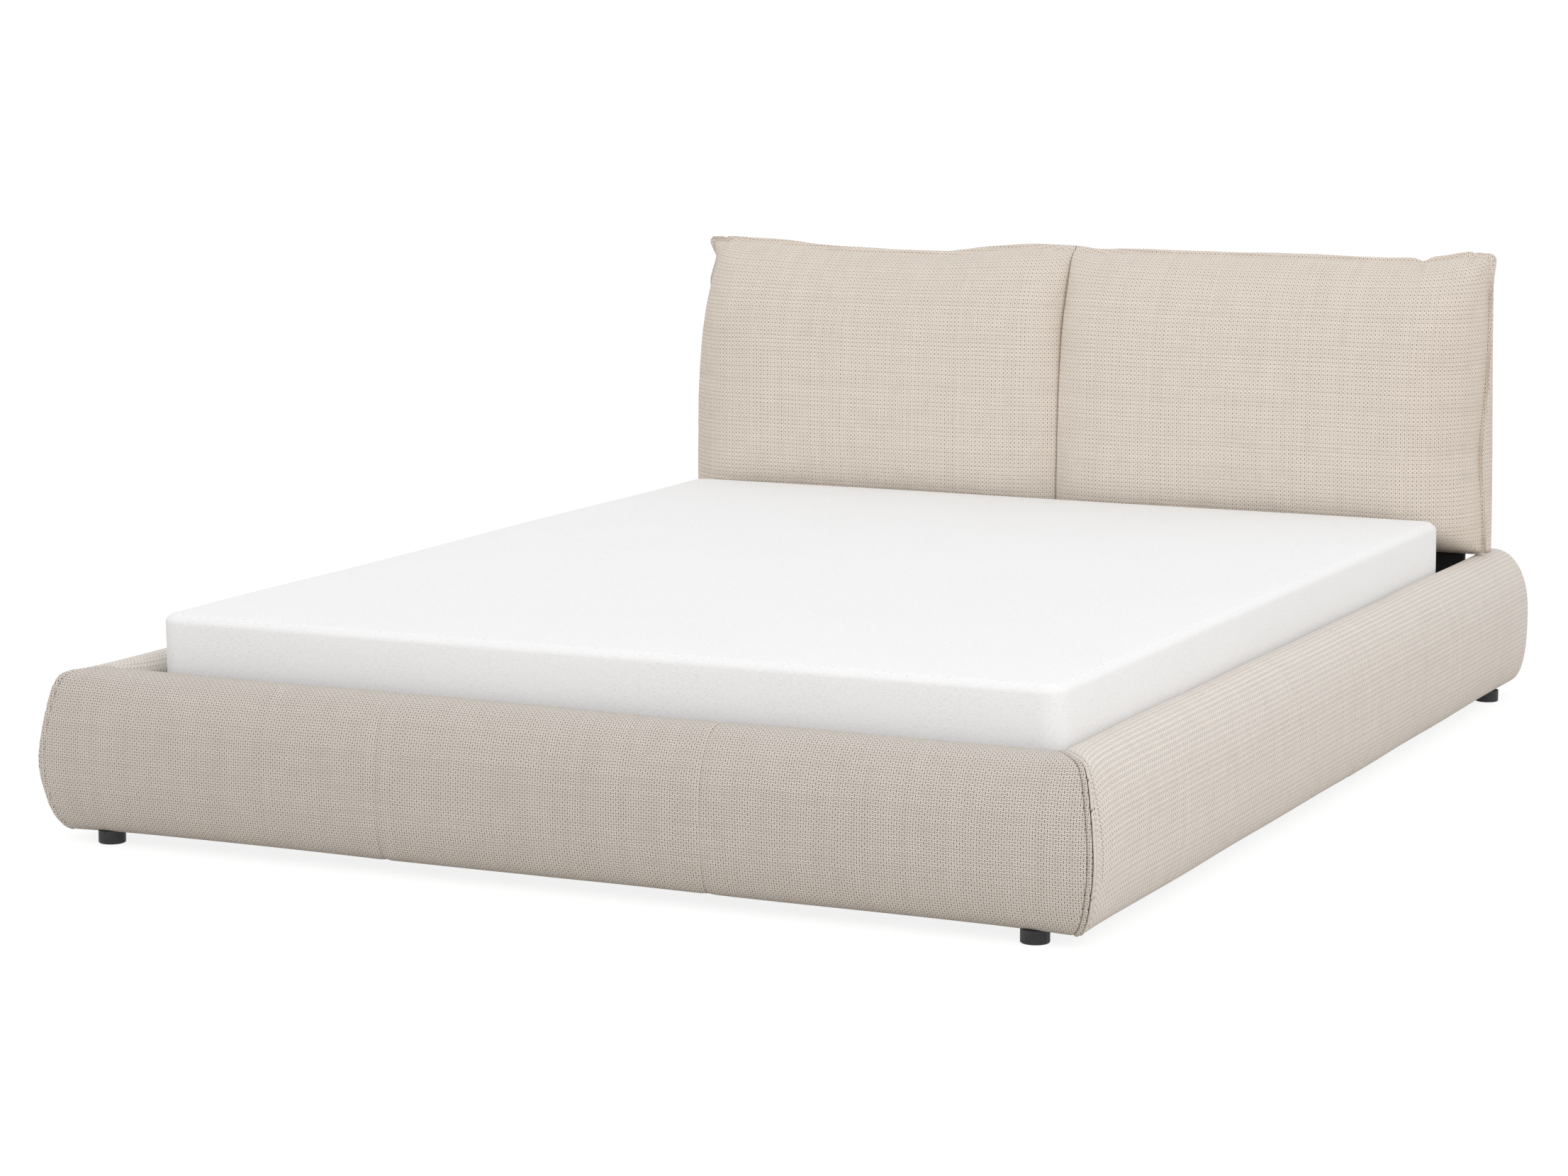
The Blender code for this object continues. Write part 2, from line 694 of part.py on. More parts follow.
def make_headboard_frame(parent):
    """Panel, lower board, posts, side stiles and cross rails: the timber that carries the cushions."""
    panel_half = body_half - FABRIC - SOFT_FIT
    panel_left, panel_right = HEADBOARD_SHIFT - panel_half, HEADBOARD_SHIFT + panel_half
    panel_low, panel_top = head_bottom + FABRIC, body_top - FABRIC - SOFT_FIT
    box(
        "headboard_panel",
        (panel_left, panel_front, panel_low),
        (panel_right, panel_front + BOARD, panel_top),
        PANEL_WOOD,
        parent,
    )
    lower = box(
        "headboard_lower_board",
        (FABRIC - well_half, panel_front, board_low),
        (well_half - FABRIC, panel_front + BOARD, rail_top),
        PANEL_WOOD,
        parent,
    )
    cut(lower, BOLT_HOLES)
    lining = box(
        "headboard_lower_lining",
        (FIT - well_half, well_head, lining_low),
        (well_half - FIT, head_plane, rail_top),
        BLACK_LINING,
        parent,
    )
    cut(lining, BOLT_HOLES)

    post_outer = well_half - POST_INSET
    post_inner = post_outer - POST_WIDTH
    under_top_rail = panel_top - CROSS_RAIL_HEIGHT
    for side, hand, edge in ((-1, "left", panel_left), (1, "right", panel_right)):
        near, far = sorted((side * post_inner, side * post_outer))
        box(
            f"headboard_post_{hand}",
            (near, frame_front, board_low),
            (far, frame_rear, under_top_rail - FIT),
            PINE,
            parent,
        )
        near, far = sorted((edge - side * STILE_WIDTH, edge))
        box(f"headboard_stile_{hand}", (near, frame_front, panel_low), (far, frame_rear, panel_top), PINE, parent)
    box(
        "headboard_top_rail",
        (panel_left + STILE_WIDTH + FIT, frame_front, under_top_rail),
        (panel_right - STILE_WIDTH - FIT, frame_rear, panel_top),
        PINE,
        parent,
    )
    cross_rail_low = panel_low + (panel_top - panel_low) * CROSS_RAIL_SHARE
    box(
        "headboard_cross_rail",
        (FIT - post_inner, frame_front, cross_rail_low),
        (post_inner - FIT, frame_rear, cross_rail_low + CROSS_RAIL_HEIGHT),
        PINE,
        parent,
    )


def make_headboard_cover(parent):
    """Fabric round both sides and the top of the frame, turned onto its back, and the lining that closes the back."""
    place = (HEADBOARD_SHIFT, panel_front, head_bottom)
    depth, height = cover_rear - panel_front, body_top - head_bottom
    shape = bmesh.new()
    rows = []
    for back, inset in ((0.0, 0.0), (depth, 0.0), (depth, COVER_RETURN)):
        half, top = body_half - inset, height - inset
        corners = ((-half, back, 0.0), (-half, back, top), (half, back, top), (half, back, 0.0))
        rows.append([shape.verts.new(corner) for corner in corners])
    for near, far in zip(rows, rows[1:]):
        for first in range(3):
            shape.faces.new((near[first], near[first + 1], far[first + 1], far[first]))
    cover = add("headboard_cover", shape, FABRIC_CLOTH, parent, place)
    solidify(cover, FABRIC, -1.0)

    lining_half = body_half - BACK_LINING_MARGIN
    box(
        "headboard_back_lining",
        (HEADBOARD_SHIFT - lining_half, cover_rear + FIT, head_bottom + BACK_LINING_MARGIN),
        (HEADBOARD_SHIFT + lining_half, cover_rear + FIT + LINING, body_top - BACK_LINING_MARGIN),
        BLACK_LINING,
        parent,
    )


def roll(distance, radius):
    """How far a cushion has risen at some distance from its edge: a quarter circle, scaled to 1."""
    share = np.clip(distance / radius, 0.0, 1.0)
    return np.sqrt(1 - (1 - share) ** 2)


def cushion_rise(across, height):
    """Fullness of one headboard cushion over its flat edge.

    across runs from the crease between the cushions, height from the cushion's lowest edge. The surface rolls up
    from the flat edge on three sides, and from the crease, which is deepest at the top.
    """
    body_width = head_half - FLANGE_WIDTH
    rows = head_top - head_bottom - 2 * FLANGE_WIDTH
    from_bottom = height - FLANGE_WIDTH
    from_top = rows - from_bottom
    crease = CREASE_FOOT_SHARE * (1 - np.clip(from_bottom / rows, 0.0, 1.0))
    inner = crease + (1 - crease) * roll(across, CUSHION_ROLL_CREASE)
    outer = roll(body_width - across, CUSHION_ROLL_OUTER)
    return CUSHION_DEPTH * inner * outer * roll(from_bottom, CUSHION_ROLL_BOTTOM) * roll(from_top, CUSHION_ROLL_TOP)


def loops_across(shape, axis, places):
    """Edge loops round a mesh, square to one axis."""
    normal = Vector((0.0, 0.0, 0.0))
    normal[axis] = 1.0
    for place in places:
        geometry = shape.verts[:] + shape.edges[:] + shape.faces[:]
        bmesh.ops.bisect_plane(shape, geom=geometry, plane_co=normal * place, plane_no=normal)


def subdivide(piece, levels):
    modifier = piece.modifiers.new("soft surface", "SUBSURF")
    modifier.levels = levels
    modifier.render_levels = levels


def make_cushion(side, parent):
    """One headboard cushion: a thin slab whose front swells, so that its rim stays as the flat sewn edge."""
    width = head_half - FIT
    height = head_top - head_bottom
    body_width = width - FLANGE_WIDTH
    shape = bmesh.new()
    bmesh.ops.create_cube(shape, size=1.0)
    bmesh.ops.scale(shape, vec=(width, FLANGE_THICKNESS, height), verts=shape.verts)
    bmesh.ops.translate(shape, vec=(width / 2, -FLANGE_THICKNESS / 2, height / 2), verts=shape.verts)
    columns = [body_width * share for share in CUSHION_COLUMN_SHARES] + [body_width]
    rows = [FLANGE_WIDTH + (height - 2 * FLANGE_WIDTH) * share for share in (0.0, *CUSHION_ROW_SHARES, 1.0)]
    loops_across(shape, 0, columns)
    loops_across(shape, 2, rows)
    front = [vertex for vertex in shape.verts if vertex.co.y < -FLANGE_THICKNESS / 2]
    places = np.array([vertex.co for vertex in front])
    for vertex, rise in zip(front, cushion_rise(places[:, 0], places[:, 2])):
        vertex.co.y -= rise
    for vertex in shape.verts:
        vertex.co.z -= CUSHION_TOP_SAG * math.sin(math.pi * vertex.co.x / width) ** 2 * vertex.co.z / height
    if side < 0:
        bmesh.ops.scale(shape, vec=(-1.0, 1.0, 1.0), verts=shape.verts)
        bmesh.ops.reverse_faces(shape, faces=shape.faces)
    hand = "right" if side > 0 else "left"
    place = (HEADBOARD_SHIFT + side * FIT, head_plane, head_bottom)
    made = add(f"headboard_cushion_{hand}", shape, FABRIC_CLOTH, parent, place)
    subdivide(made, 1)
    smooth(made)


def make_mattress(parent):
    """A foam mattress with soft edges: a block whose top is level in the middle and lower along its rim."""
    half_width, half_length = MATTRESS_WIDTH / 2, MATTRESS_LENGTH / 2
    low = (-half_width, -half_length, 0.0)
    high = (half_width, half_length, MATTRESS_THICKNESS)
    shape = block(low, high)
    near_x, near_y = half_width - MATTRESS_ROUNDING, half_length - MATTRESS_ROUNDING
    near_z = MATTRESS_THICKNESS / 2 - MATTRESS_ROUNDING
    loops_across(shape, 0, (-near_x, -near_x + MATTRESS_ROUNDING, 0.0, near_x - MATTRESS_ROUNDING, near_x))
    loops_across(shape, 1, (-near_y, -near_y + MATTRESS_ROUNDING, 0.0, near_y - MATTRESS_ROUNDING, near_y))
    loops_across(shape, 2, (-near_z, near_z))
    for vertex in shape.verts:
        on_rim = abs(vertex.co.x) > near_x - SAME_PLACE or abs(vertex.co.y) > near_y - SAME_PLACE
        if on_rim and vertex.co.z > near_z + SAME_PLACE:
            vertex.co.z -= MATTRESS_EDGE_DROP
    place = (mattress_x, (mattress_front + mattress_rear) / 2, SLAT_TOP + FIT + MATTRESS_THICKNESS / 2)
    made = add("mattress", shape, TICKING, parent, place)
    subdivide(made, 1)
    smooth(made)


clear_scene()
PARTS = new_collection("upholstered_bed")
CUTTERS = new_collection("cutters")
CUTTERS.hide_render = True

FABRIC_CLOTH = finish("beige_fabric", (0.60, 0.54, 0.47), 0.9)
BLACK_LINING = finish("black_lining", (0.02, 0.02, 0.022), 0.9)
FOAM = finish("foam", (0.82, 0.76, 0.60), 0.95)
PANEL_WOOD = finish("particle_board", (0.52, 0.38, 0.23), 0.75)
PINE = finish("pine", (0.74, 0.56, 0.35), 0.6)
POPLAR = finish("poplar", (0.80, 0.68, 0.50), 0.6)
WEBBING = finish("webbing", (0.75, 0.75, 0.73), 0.85)
ZINC = finish("zinc_plated_steel", (0.62, 0.63, 0.64), 0.35, 1.0)
DARK_STEEL = finish("black_painted_steel", (0.03, 0.03, 0.032), 0.4)
BLACK_PLASTIC = finish("black_plastic", (0.015, 0.015, 0.016), 0.45)
TICKING = finish("white_ticking", (0.80, 0.80, 0.80), 0.9)

BED = empty("bed")
BOLT_HOLES = make_bolt_holes()

rails = empty("rails", BED)
make_foot_rail(rails)
make_side_rail(-1, rails)
make_side_rail(1, rails)
make_corner_hardware(rails)
make_feet(rails)

base = empty("slatted_base", BED)
make_slatted_base(base)
make_centre_beam(base)
make_centre_legs(base)

headboard = empty("headboard", BED)
make_headboard_frame(headboard)
make_headboard_cover(headboard)
make_cushion(-1, headboard)
make_cushion(1, headboard)

make_mattress(BED)
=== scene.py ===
"""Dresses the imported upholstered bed: woven covers with mitred corners and sewn seams, two headboard cushions,
a mattress, linings, timber, steel and plastic, in a plain white studio."""

import json
import math

import bmesh
import bpy
import numpy as np
from bpy.props import FloatProperty, FloatVectorProperty, PointerProperty
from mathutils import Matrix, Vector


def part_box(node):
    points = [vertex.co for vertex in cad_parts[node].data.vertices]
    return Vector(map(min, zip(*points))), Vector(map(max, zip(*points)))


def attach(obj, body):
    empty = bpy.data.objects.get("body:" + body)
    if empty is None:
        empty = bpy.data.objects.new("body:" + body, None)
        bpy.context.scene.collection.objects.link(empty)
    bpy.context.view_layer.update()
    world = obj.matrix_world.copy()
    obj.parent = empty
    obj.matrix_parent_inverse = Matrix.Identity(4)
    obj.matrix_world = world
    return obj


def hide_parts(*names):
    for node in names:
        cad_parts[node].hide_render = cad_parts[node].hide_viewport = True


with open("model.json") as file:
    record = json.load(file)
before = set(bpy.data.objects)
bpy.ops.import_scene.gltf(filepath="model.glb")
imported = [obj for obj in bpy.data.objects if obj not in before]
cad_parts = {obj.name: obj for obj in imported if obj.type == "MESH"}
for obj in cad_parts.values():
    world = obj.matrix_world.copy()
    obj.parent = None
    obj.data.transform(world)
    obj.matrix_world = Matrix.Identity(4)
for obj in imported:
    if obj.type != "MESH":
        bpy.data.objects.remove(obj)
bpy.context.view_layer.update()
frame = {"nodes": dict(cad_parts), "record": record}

bl_info = {
    "name": "Upholstered Bed Dressing",
    "version": (1, 0, 0),
    "blender": (4, 5, 0),
    "location": "View3D > Sidebar > Bed",
    "description": "Covers, cushions, mattress and finishes for the upholstered bed",
    "category": "Object",
}

CLOTH_MAP = "cloth"
CLOSING_SHARES = (1.0, 0.6, 0.3, 0.12, 0.04)
CLOSING = len(CLOSING_SHARES)
PINE = ((0.52, 0.33, 0.16), (0.80, 0.62, 0.40))
WELD = 1e-6
MITRE_GAP = 0.0004
MITRE_OPENING = 0.0010
CORNER_CUT, CORNER_CUT_HEIGHT = 0.0215, 0.0675
COVER_THICKNESS, LINING_THICKNESS = 0.0018, 0.0004
STAPLE, STAPLE_GAP = 0.010, 0.050
HEEL = 0.008
UPPER_POWER, LOWER_POWER = 2.2, 2.6
SIMULATED_COLUMNS, SIMULATED_ROWS, SIMULATED_FRAMES = 108, 72, 25
CAMERA_LENS, CAMERA_PLACE, CAMERA_DEGREES = 93.82, (2.990, -6.653, 1.438), (81.255, 25.17)

# The basket weave: height of a pair's arches, height and steepness of its yarns' rounds, darkness of the painted shade
# in its groove
ARCH = 0.42
WEFT_ROUND, WARP_ROUND = 0.58, 0.56
WEFT_STEEP, WARP_STEEP = 3.7, 3.9
GROOVE_SHADE = 0.95


def corners(node):
    """Lowest and highest corner of a CAD node, as arrays."""
    low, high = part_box(node)
    return np.array(low), np.array(high)


MATTRESS_LOW, MATTRESS_HIGH = corners("mattress")
SIDE_LOW, SIDE_HIGH = corners("side_rail_cover_right")
FOOT_HIGH = corners("foot_rail_cover")[1]
LEFT_CUSHION_HIGH = corners("headboard_cushion_left")[1]
RIGHT_CUSHION_LOW, RIGHT_CUSHION_HIGH = corners("headboard_cushion_right")
HALF_CLEAR = SIDE_LOW[0]
RAIL_DEPTH = SIDE_HIGH[0] - SIDE_LOW[0]
RAIL_REAR = SIDE_HIGH[1]
RAIL_FRONT = FOOT_HIGH[1]
RAIL_LOW, RAIL_TOP = SIDE_LOW[2], SIDE_HIGH[2]
HEAD_PLANE = RIGHT_CUSHION_HIGH[1]
HEAD_MIDDLE = (LEFT_CUSHION_HIGH[0] + RIGHT_CUSHION_LOW[0]) / 2
CUSHION_WIDTH = RIGHT_CUSHION_HIGH[0] - HEAD_MIDDLE
CUSHION_LOW, CUSHION_TOP = RIGHT_CUSHION_LOW[2], RIGHT_CUSHION_HIGH[2]
CUSHION_DEPTH = HEAD_PLANE - RIGHT_CUSHION_LOW[1]


def metres(name, description, default):
    """A setting that is a length."""
    return FloatProperty(name=name, description=description, default=default, unit="LENGTH")


def amount(name, description, default):
    """A setting without a unit."""
    return FloatProperty(name=name, description=description, default=default)


def tint(name, description, default):
    """A setting that is a colour."""
    return FloatVectorProperty(name=name, description=description, subtype="COLOR", default=default)


class BedClothSettings(bpy.types.PropertyGroup):
    """The coarse basket weave on rails and headboard."""

    relief: metres("Relief", "Height of the weave", 0.0006)
    headboard_thread: metres("Headboard Thread", "Width of one pair of yarns on the headboard", 0.00413)
    rail_thread: metres("Rail Thread", "Width of one pair of yarns on the rails", 0.0044)
    side_rib: amount("Side Rib", "How far the side rails' level threads lie in pairs, in threads", 0.075)
    # One fabric's colour, tinted part by part as painted light: darker on the foot rail as painted shade on its front,
    # lighter on the side rails and the headboard as painted light
    headboard: tint("Headboard", "Colour of the headboard's threads", (0.925, 0.835, 0.735))
    foot: tint("Foot Rail", "Colour of the foot rail's threads", (0.79, 0.73, 0.67))
    side: tint("Side Rails", "Colour of the side rails' threads", (0.865, 0.805, 0.745))
    warp: amount("Warp", "Brightness of the upright threads beside the level ones", 0.90)
    # The gap colours are painted shade: the weave's low places and grooves darken towards them
    gap: tint("Gap", "Colour between the threads", (0.17, 0.13, 0.10))
    side_gap: tint("Side Gap", "Colour between the side rails' threads", (0.27, 0.225, 0.19))


class BedRailSettings(bpy.types.PropertyGroup):
    """Shapes of the padded rails' covers."""

    crest: metres("Crest", "Radius of the crest", 0.028)
    sole: metres("Sole", "Width of the flat sole", 0.058)
    widest: amount("Widest", "Height of the widest line, as a share", 0.52)
    end: metres("End", "Radius of the rear end", 0.014)
    foot_seam: metres("Foot Seam", "Seam from the middle", 0.285)
    side_seam: metres("Side Seam", "Seam along the side rail", 0.105)
    row_bend: metres("Row Bend", "Rows drawn down at the mitre", 0.022)
    topstitch: metres("Topstitch", "From the mitre's edge", 0.0066)
    full_reach: metres("Full Reach", "Fading of the full end", 0.07)


class BedCushionSettings(bpy.types.PropertyGroup):
    """Shapes of the headboard's cushions."""

    flange: metres("Flange", "Width of the flat sewn edge", 0.010)
    edge: metres("Edge", "Thickness of the flat edge", 0.004)
    roll_outer: metres("Outer Roll", "Roll at the outer side", 0.125)
    roll_top: metres("Top Roll", "Roll at the top", 0.20)
    roll_low: metres("Low Roll", "Roll at the bottom", 0.06)
    roll_crease: metres("Crease Roll", "Roll at the crease", 0.17)
    low_flange: metres("Low Flange", "Flat edge at the bottom", 0.005)
    crease_shift: metres("Crease Shift", "Crease, from the middle", -0.007)
    ear: metres("Ear", "Radius of the top outer corner", 0.014)
    low_corner: metres("Low Corner", "Radius of the low outer corner", 0.012)
    room: metres("Room", "Depth left for the air to fill", 0.004)
    slack: amount("Slack", "How much larger than its frame the cloth is cut", 0.012)
    pressure: amount("Pressure", "Air pressure that fills the cushion out", 12.0)
    blown_share: amount("Blown Share", "Share of the simulated movement", 0.30)


class BedMattressSettings(bpy.types.PropertyGroup):
    """Shape and colour of the mattress."""

    edge: metres("Edge", "Radius of the long edges", 0.018)
    corner: metres("Corner", "Radius of the upright corners", 0.035)
    colour: tint("Colour", "White cover", (0.95, 0.95, 0.955))


class BedStudioSettings(bpy.types.PropertyGroup):
    """Light of the studio."""

    sky: amount("Sky", "Strength of the light from all round", 0.93)
    key: FloatProperty(name="Key", description="Power of the lamp in front, at the right", default=56.0, unit="POWER")
    fill: FloatProperty(name="Fill", description="Power of the lamp at the right", default=7.0, unit="POWER")


class Wire:
    """The output of one shader node. Sums, products and the like of wires add Math nodes to their tree."""

    def __init__(self, tree, socket=None):
        self.tree = tree
        self.socket = socket

    def node(self, kind, inputs=(), settings=(), output=0):
        """Add a node, give it its settings first and then the values or wires of its sockets."""
        made = self.tree.nodes.new(kind)
        for name, value in dict(settings).items():
            if name == "stops":
                while len(made.color_ramp.elements) < len(value):
                    made.color_ramp.elements.new(1.0)
                for element, (place, colour) in zip(made.color_ramp.elements, value):
                    element.position = place
                    element.color = (*colour, 1.0)
            else:
                setattr(made, name, value)
        for name, value in dict(inputs).items():
            if isinstance(value, Wire):
                self.tree.links.new(value.socket, made.inputs[name])
            else:
                made.inputs[name].default_value = value
        return Wire(self.tree, made.outputs[output])

    def other(self, output):
        """Another output of the same node."""
        return Wire(self.tree, self.socket.node.outputs[output])

    def maths(self, operation, *values):
        return self.node("ShaderNodeMath", enumerate(values), {"operation": operation})

    def apply(self, operation):
        """Maths of this wire alone, such as its cosine."""
        return self.maths(operation, self)

    def __add__(self, other):
        return self.maths("ADD", self, other)

    def __radd__(self, other):
        return self.maths("ADD", other, self)

    def __sub__(self, other):
        return self.maths("SUBTRACT", self, other)

    def __rsub__(self, other):
        return self.maths("SUBTRACT", other, self)

    def __mul__(self, other):
        return self.maths("MULTIPLY", self, other)

    def __truediv__(self, other):
        return self.maths("DIVIDE", self, other)

    def above(self, other):
        return self.maths("GREATER_THAN", self, other)

    def step(self, low, high):
        """0 below low, 1 above high, and a soft rise between."""
        settings = {"interpolation_type": "SMOOTHSTEP"}
        return self.node("ShaderNodeMapRange", {"Value": self, "From Min": low, "From Max": high}, settings)

    def mix(self, first, second):
        """Colour between first and second, by this wire."""
        inputs = {0: self, 6: colour_value(first), 7: colour_value(second)}
        return self.node("ShaderNodeMix", inputs, {"data_type": "RGBA"}, 2)


def colour_value(colour):
    return colour if isinstance(colour, Wire) else (*tuple(colour)[:3], 1.0)


def finish(name, paint):
    """A material whose Principled shader gets its sockets from what paint(start) returns."""
    made = bpy.data.materials.get(name)
    if made:
        return made
    made = bpy.data.materials.new(name)
    made.use_nodes = True
    shader = made.node_tree.nodes["Principled BSDF"]
    for socket, value in paint(Wire(made.node_tree)).items():
        if isinstance(value, Wire):
            made.node_tree.links.new(value.socket, shader.inputs[socket])
        else:
            shader.inputs[socket].default_value = value
    return made


def place_of(start, scale=(1.0, 1.0, 1.0)):
    """Object coordinates, stretched by scale."""
    place = start.node("ShaderNodeTexCoord", output="Object")
    return start.node("ShaderNodeMapping", {"Vector": place, "Scale": scale})


def noise(start, place, scale, detail=2.0, roughness=0.5):
    inputs = {"Vector": place, "Scale": scale, "Detail": detail, "Roughness": roughness}
    return start.node("ShaderNodeTexNoise", inputs)


def relief(start, height, distance, strength=1.0):
    return start.node("ShaderNodeBump", {"Height": height, "Distance": distance, "Strength": strength})


def woven(thread, height, weft_colour, warp_colour, gap_shade_colour, rib, sway, level_dash, odd_dash):
    """Paint a basket weave: each pair of yarns is a row of arches that dive under the crossing pairs by turns.

    A pair's surface is its centre line, a cosine with one half wave for each crossing, plus the two rounds of its
    section, and the higher of the two pairs shows. Painted shade darkens the low places between the threads towards the
    gap colour, and darkens the groove between the yarns of the pair on top, so that level and upright dashes take
    turns.
    A rib moves each level pair that far towards its partner, in pair widths.
    """

    def paint(start):
        marks = start.node("ShaderNodeUVMap", settings={"uv_map": CLOTH_MAP})
        place = place_of(start)
        drift = noise(start, place, 9.0, 2.0)
        parts = start.node("ShaderNodeSeparateXYZ", {0: marks})
        across = parts / thread + drift * sway
        upward = parts.other(1) / thread + drift * sway
        column, row = across.apply("FLOOR"), upward.apply("FLOOR")
        partner = (row * 0.5).apply("FRACT") * 4.0 - 1.0
        in_column, in_row = across - column - 0.5, upward - row - 0.5 + partner * rib
        fluff = noise(start, place, 900.0, 2.0, 0.6)
        weft_line = ((across - 0.5 + row) * math.pi).apply("COSINE")
        warp_line = ((upward - 0.5 + column) * math.pi).apply("COSINE")
        from_row, from_column = in_row.apply("ABSOLUTE"), in_column.apply("ABSOLUTE")
        weft_side, warp_side = (from_row - 0.25) * WEFT_STEEP, (from_column - 0.25) * WARP_STEEP
        weft_round = start.maths("SQRT", start.maths("MAXIMUM", 1.0 - weft_side * weft_side, 0.0))
        warp_round = start.maths("SQRT", start.maths("MAXIMUM", 1.0 - warp_side * warp_side, 0.0))
        weft = weft_line * ARCH + weft_round * WEFT_ROUND
        warp = warp_line * -ARCH + warp_round * WARP_ROUND
        on_top = weft.above(warp)
        surface = start.maths("MAXIMUM", weft, warp)
        thread_tone = start.node("ShaderNodeTexWhiteNoise", {"W": row}, {"noise_dimensions": "1D"})
        upright_tone = start.node("ShaderNodeTexWhiteNoise", {"W": column + 0.5}, {"noise_dimensions": "1D"})
        tone = on_top * thread_tone + (1.0 - on_top) * upright_tone
        slub = noise(start, place, 26.0, 3.0, 0.6)
        shade = (tone - 0.5) * 0.24 + (slub - 0.5) * 0.30 + (fluff - 0.5) * 0.30 + 0.5
        plain = on_top.mix(warp_colour, weft_colour)
        darker = plain.node("ShaderNodeHueSaturation", {"Color": plain, "Value": 0.80})
        lighter = plain.node("ShaderNodeHueSaturation", {"Color": plain, "Value": 1.18})
        toned = shade.mix(darker, lighter)
        # Painted shade in the grooves between the yarns of the pair on top
        level_groove = (1.0 - from_row.step(0.06, 0.19)) * weft_line.step(-0.1, 0.3) * on_top
        upright_groove = (1.0 - from_column.step(0.075, 0.21)) * (1.0 - warp_line.step(-0.3, 0.1)) * (1.0 - on_top)
        every = 1.0 - (partner + 1.0) * (0.5 - 0.5 * odd_dash)
        groove = (level_groove * level_dash + upright_groove) * every
        # Painted shade: the low places between the threads and the grooves darken towards the gap colour
        seen = (surface + (fluff - 0.5) * 0.15).step(-0.15, 0.75) * (1.0 - groove * GROOVE_SHADE)
        return {
            "Base Color": seen.mix(gap_shade_colour, toned),
            "Roughness": 0.92,
            "Specular IOR Level": 0.25,
            "Sheen Weight": 0.08,
            "Sheen Roughness": 0.5,
            "Normal": relief(start, surface + fluff * 0.18 - groove * 0.4, height),
        }

    return paint


def slub_knit(colour):
    """Paint the mattress's fine cover: short level slubs of thicker thread in a tight even weave."""

    def paint(start):
        marks = start.node("ShaderNodeUVMap", settings={"uv_map": CLOTH_MAP})
        slub_place = start.node("ShaderNodeMapping", {"Vector": marks, "Scale": (120.0, 950.0, 1.0)})
        cross_place = start.node("ShaderNodeMapping", {"Vector": marks, "Scale": (900.0, 160.0, 1.0)})
        slub = noise(start, slub_place, 1.0, 2.0, 0.6)
        cross = noise(start, cross_place, 1.0, 1.0, 0.5)
        patchy = noise(start, marks, 5.0, 3.0, 0.6)
        pale = 1.0 - slub.step(0.5, 0.7) * (patchy.step(0.3, 0.7) * 0.4 + 0.4) - cross.step(0.5, 0.7) * 0.3
        shaded = tuple(channel * 0.82 for channel in colour)
        return {
            "Base Color": start.maths("MAXIMUM", pale, 0.0).mix(shaded, colour),
            "Roughness": 0.95,
            "Specular IOR Level": 0.2,
            "Sheen Weight": 0.05,
            "Normal": relief(start, slub + cross * 0.5, 0.0003),
        }

    return paint


def lining_cloth(start):
    """Paint the thin black non-woven lining: pressed fibres with a fine grid of bonded dots."""
    fibres = noise(start, place_of(start), 420.0, 3.0, 0.7)
    clouds = noise(start, place_of(start), 14.0, 3.0)
    dots = start.node("ShaderNodeTexVoronoi", {"Vector": place_of(start), "Scale": 600.0})
    tone = fibres * 0.6 + clouds * 0.4
    return {
        "Base Color": tone.mix((0.010, 0.010, 0.011), (0.035, 0.035, 0.037)),
        "Roughness": 0.85,
        "Specular IOR Level": 0.3,
        "Normal": relief(start, fibres + dots * 0.6, 0.0004),
    }


def foam_crumb(start):
    """Paint open foam: pores among pale yellow walls."""
    pores = start.node("ShaderNodeTexVoronoi", {"Vector": place_of(start), "Scale": 500.0})
    clouds = noise(start, place_of(start), 8.0, 3.0)
    return {
        "Base Color": (pores * 0.5 + clouds * 0.5).mix((0.66, 0.58, 0.40), (0.90, 0.84, 0.66)),
        "Roughness": 1.0,
        "Normal": relief(start, pores, 0.0008),
    }


def chip_board(start):
    """Paint raw particle board: flat chips of several browns."""
    place = place_of(start)
    chips = start.node("ShaderNodeTexVoronoi", {"Vector": place, "Scale": 260.0}, output="Color")
    parts = start.node("ShaderNodeSeparateColor", {0: chips})
    clouds = noise(start, place, 20.0, 4.0)
    tone = parts * 0.6 + clouds * 0.4
    stops = {"stops": ((0.1, (0.20, 0.12, 0.06)), (0.5, (0.46, 0.32, 0.18)), (0.9, (0.66, 0.50, 0.31)))}
    return {
        "Base Color": start.node("ShaderNodeValToRGB", {0: tone}, stops),
        "Roughness": 0.78,
        "Normal": relief(start, tone, 0.0005),
    }


def planed_wood(along, dark, pale):
    """Paint planed timber with its grain along one axis: stretched rings, fine pores and a few darker streaks."""

    def paint(start):
        stretch = [26.0, 26.0, 26.0]
        stretch[along] = 1.3
        fine = [700.0, 700.0, 700.0]
        fine[along] = 14.0
        place = place_of(start, stretch)
        bend = noise(start, place, 0.7, 3.0, 0.5)
        ring_inputs = {"Vector": place, "Scale": 0.35, "Distortion": 5.0, "Detail": 3.0, "Detail Scale": 1.2}
        rings = start.node("ShaderNodeTexWave", ring_inputs, {"wave_type": "RINGS"}, 1)
        pores = noise(start, place_of(start, fine), 1.0, 2.0, 0.6)
        tone = rings * 0.45 + bend * 0.35 + pores * 0.2
        stops = {"stops": ((0.2, dark), (0.75, pale))}
        return {
            "Base Color": start.node("ShaderNodeValToRGB", {0: tone}, stops),
            "Roughness": 0.5 + pores * 0.25,
            "Normal": relief(start, pores + rings * 0.3, 0.0003),
        }

    return paint


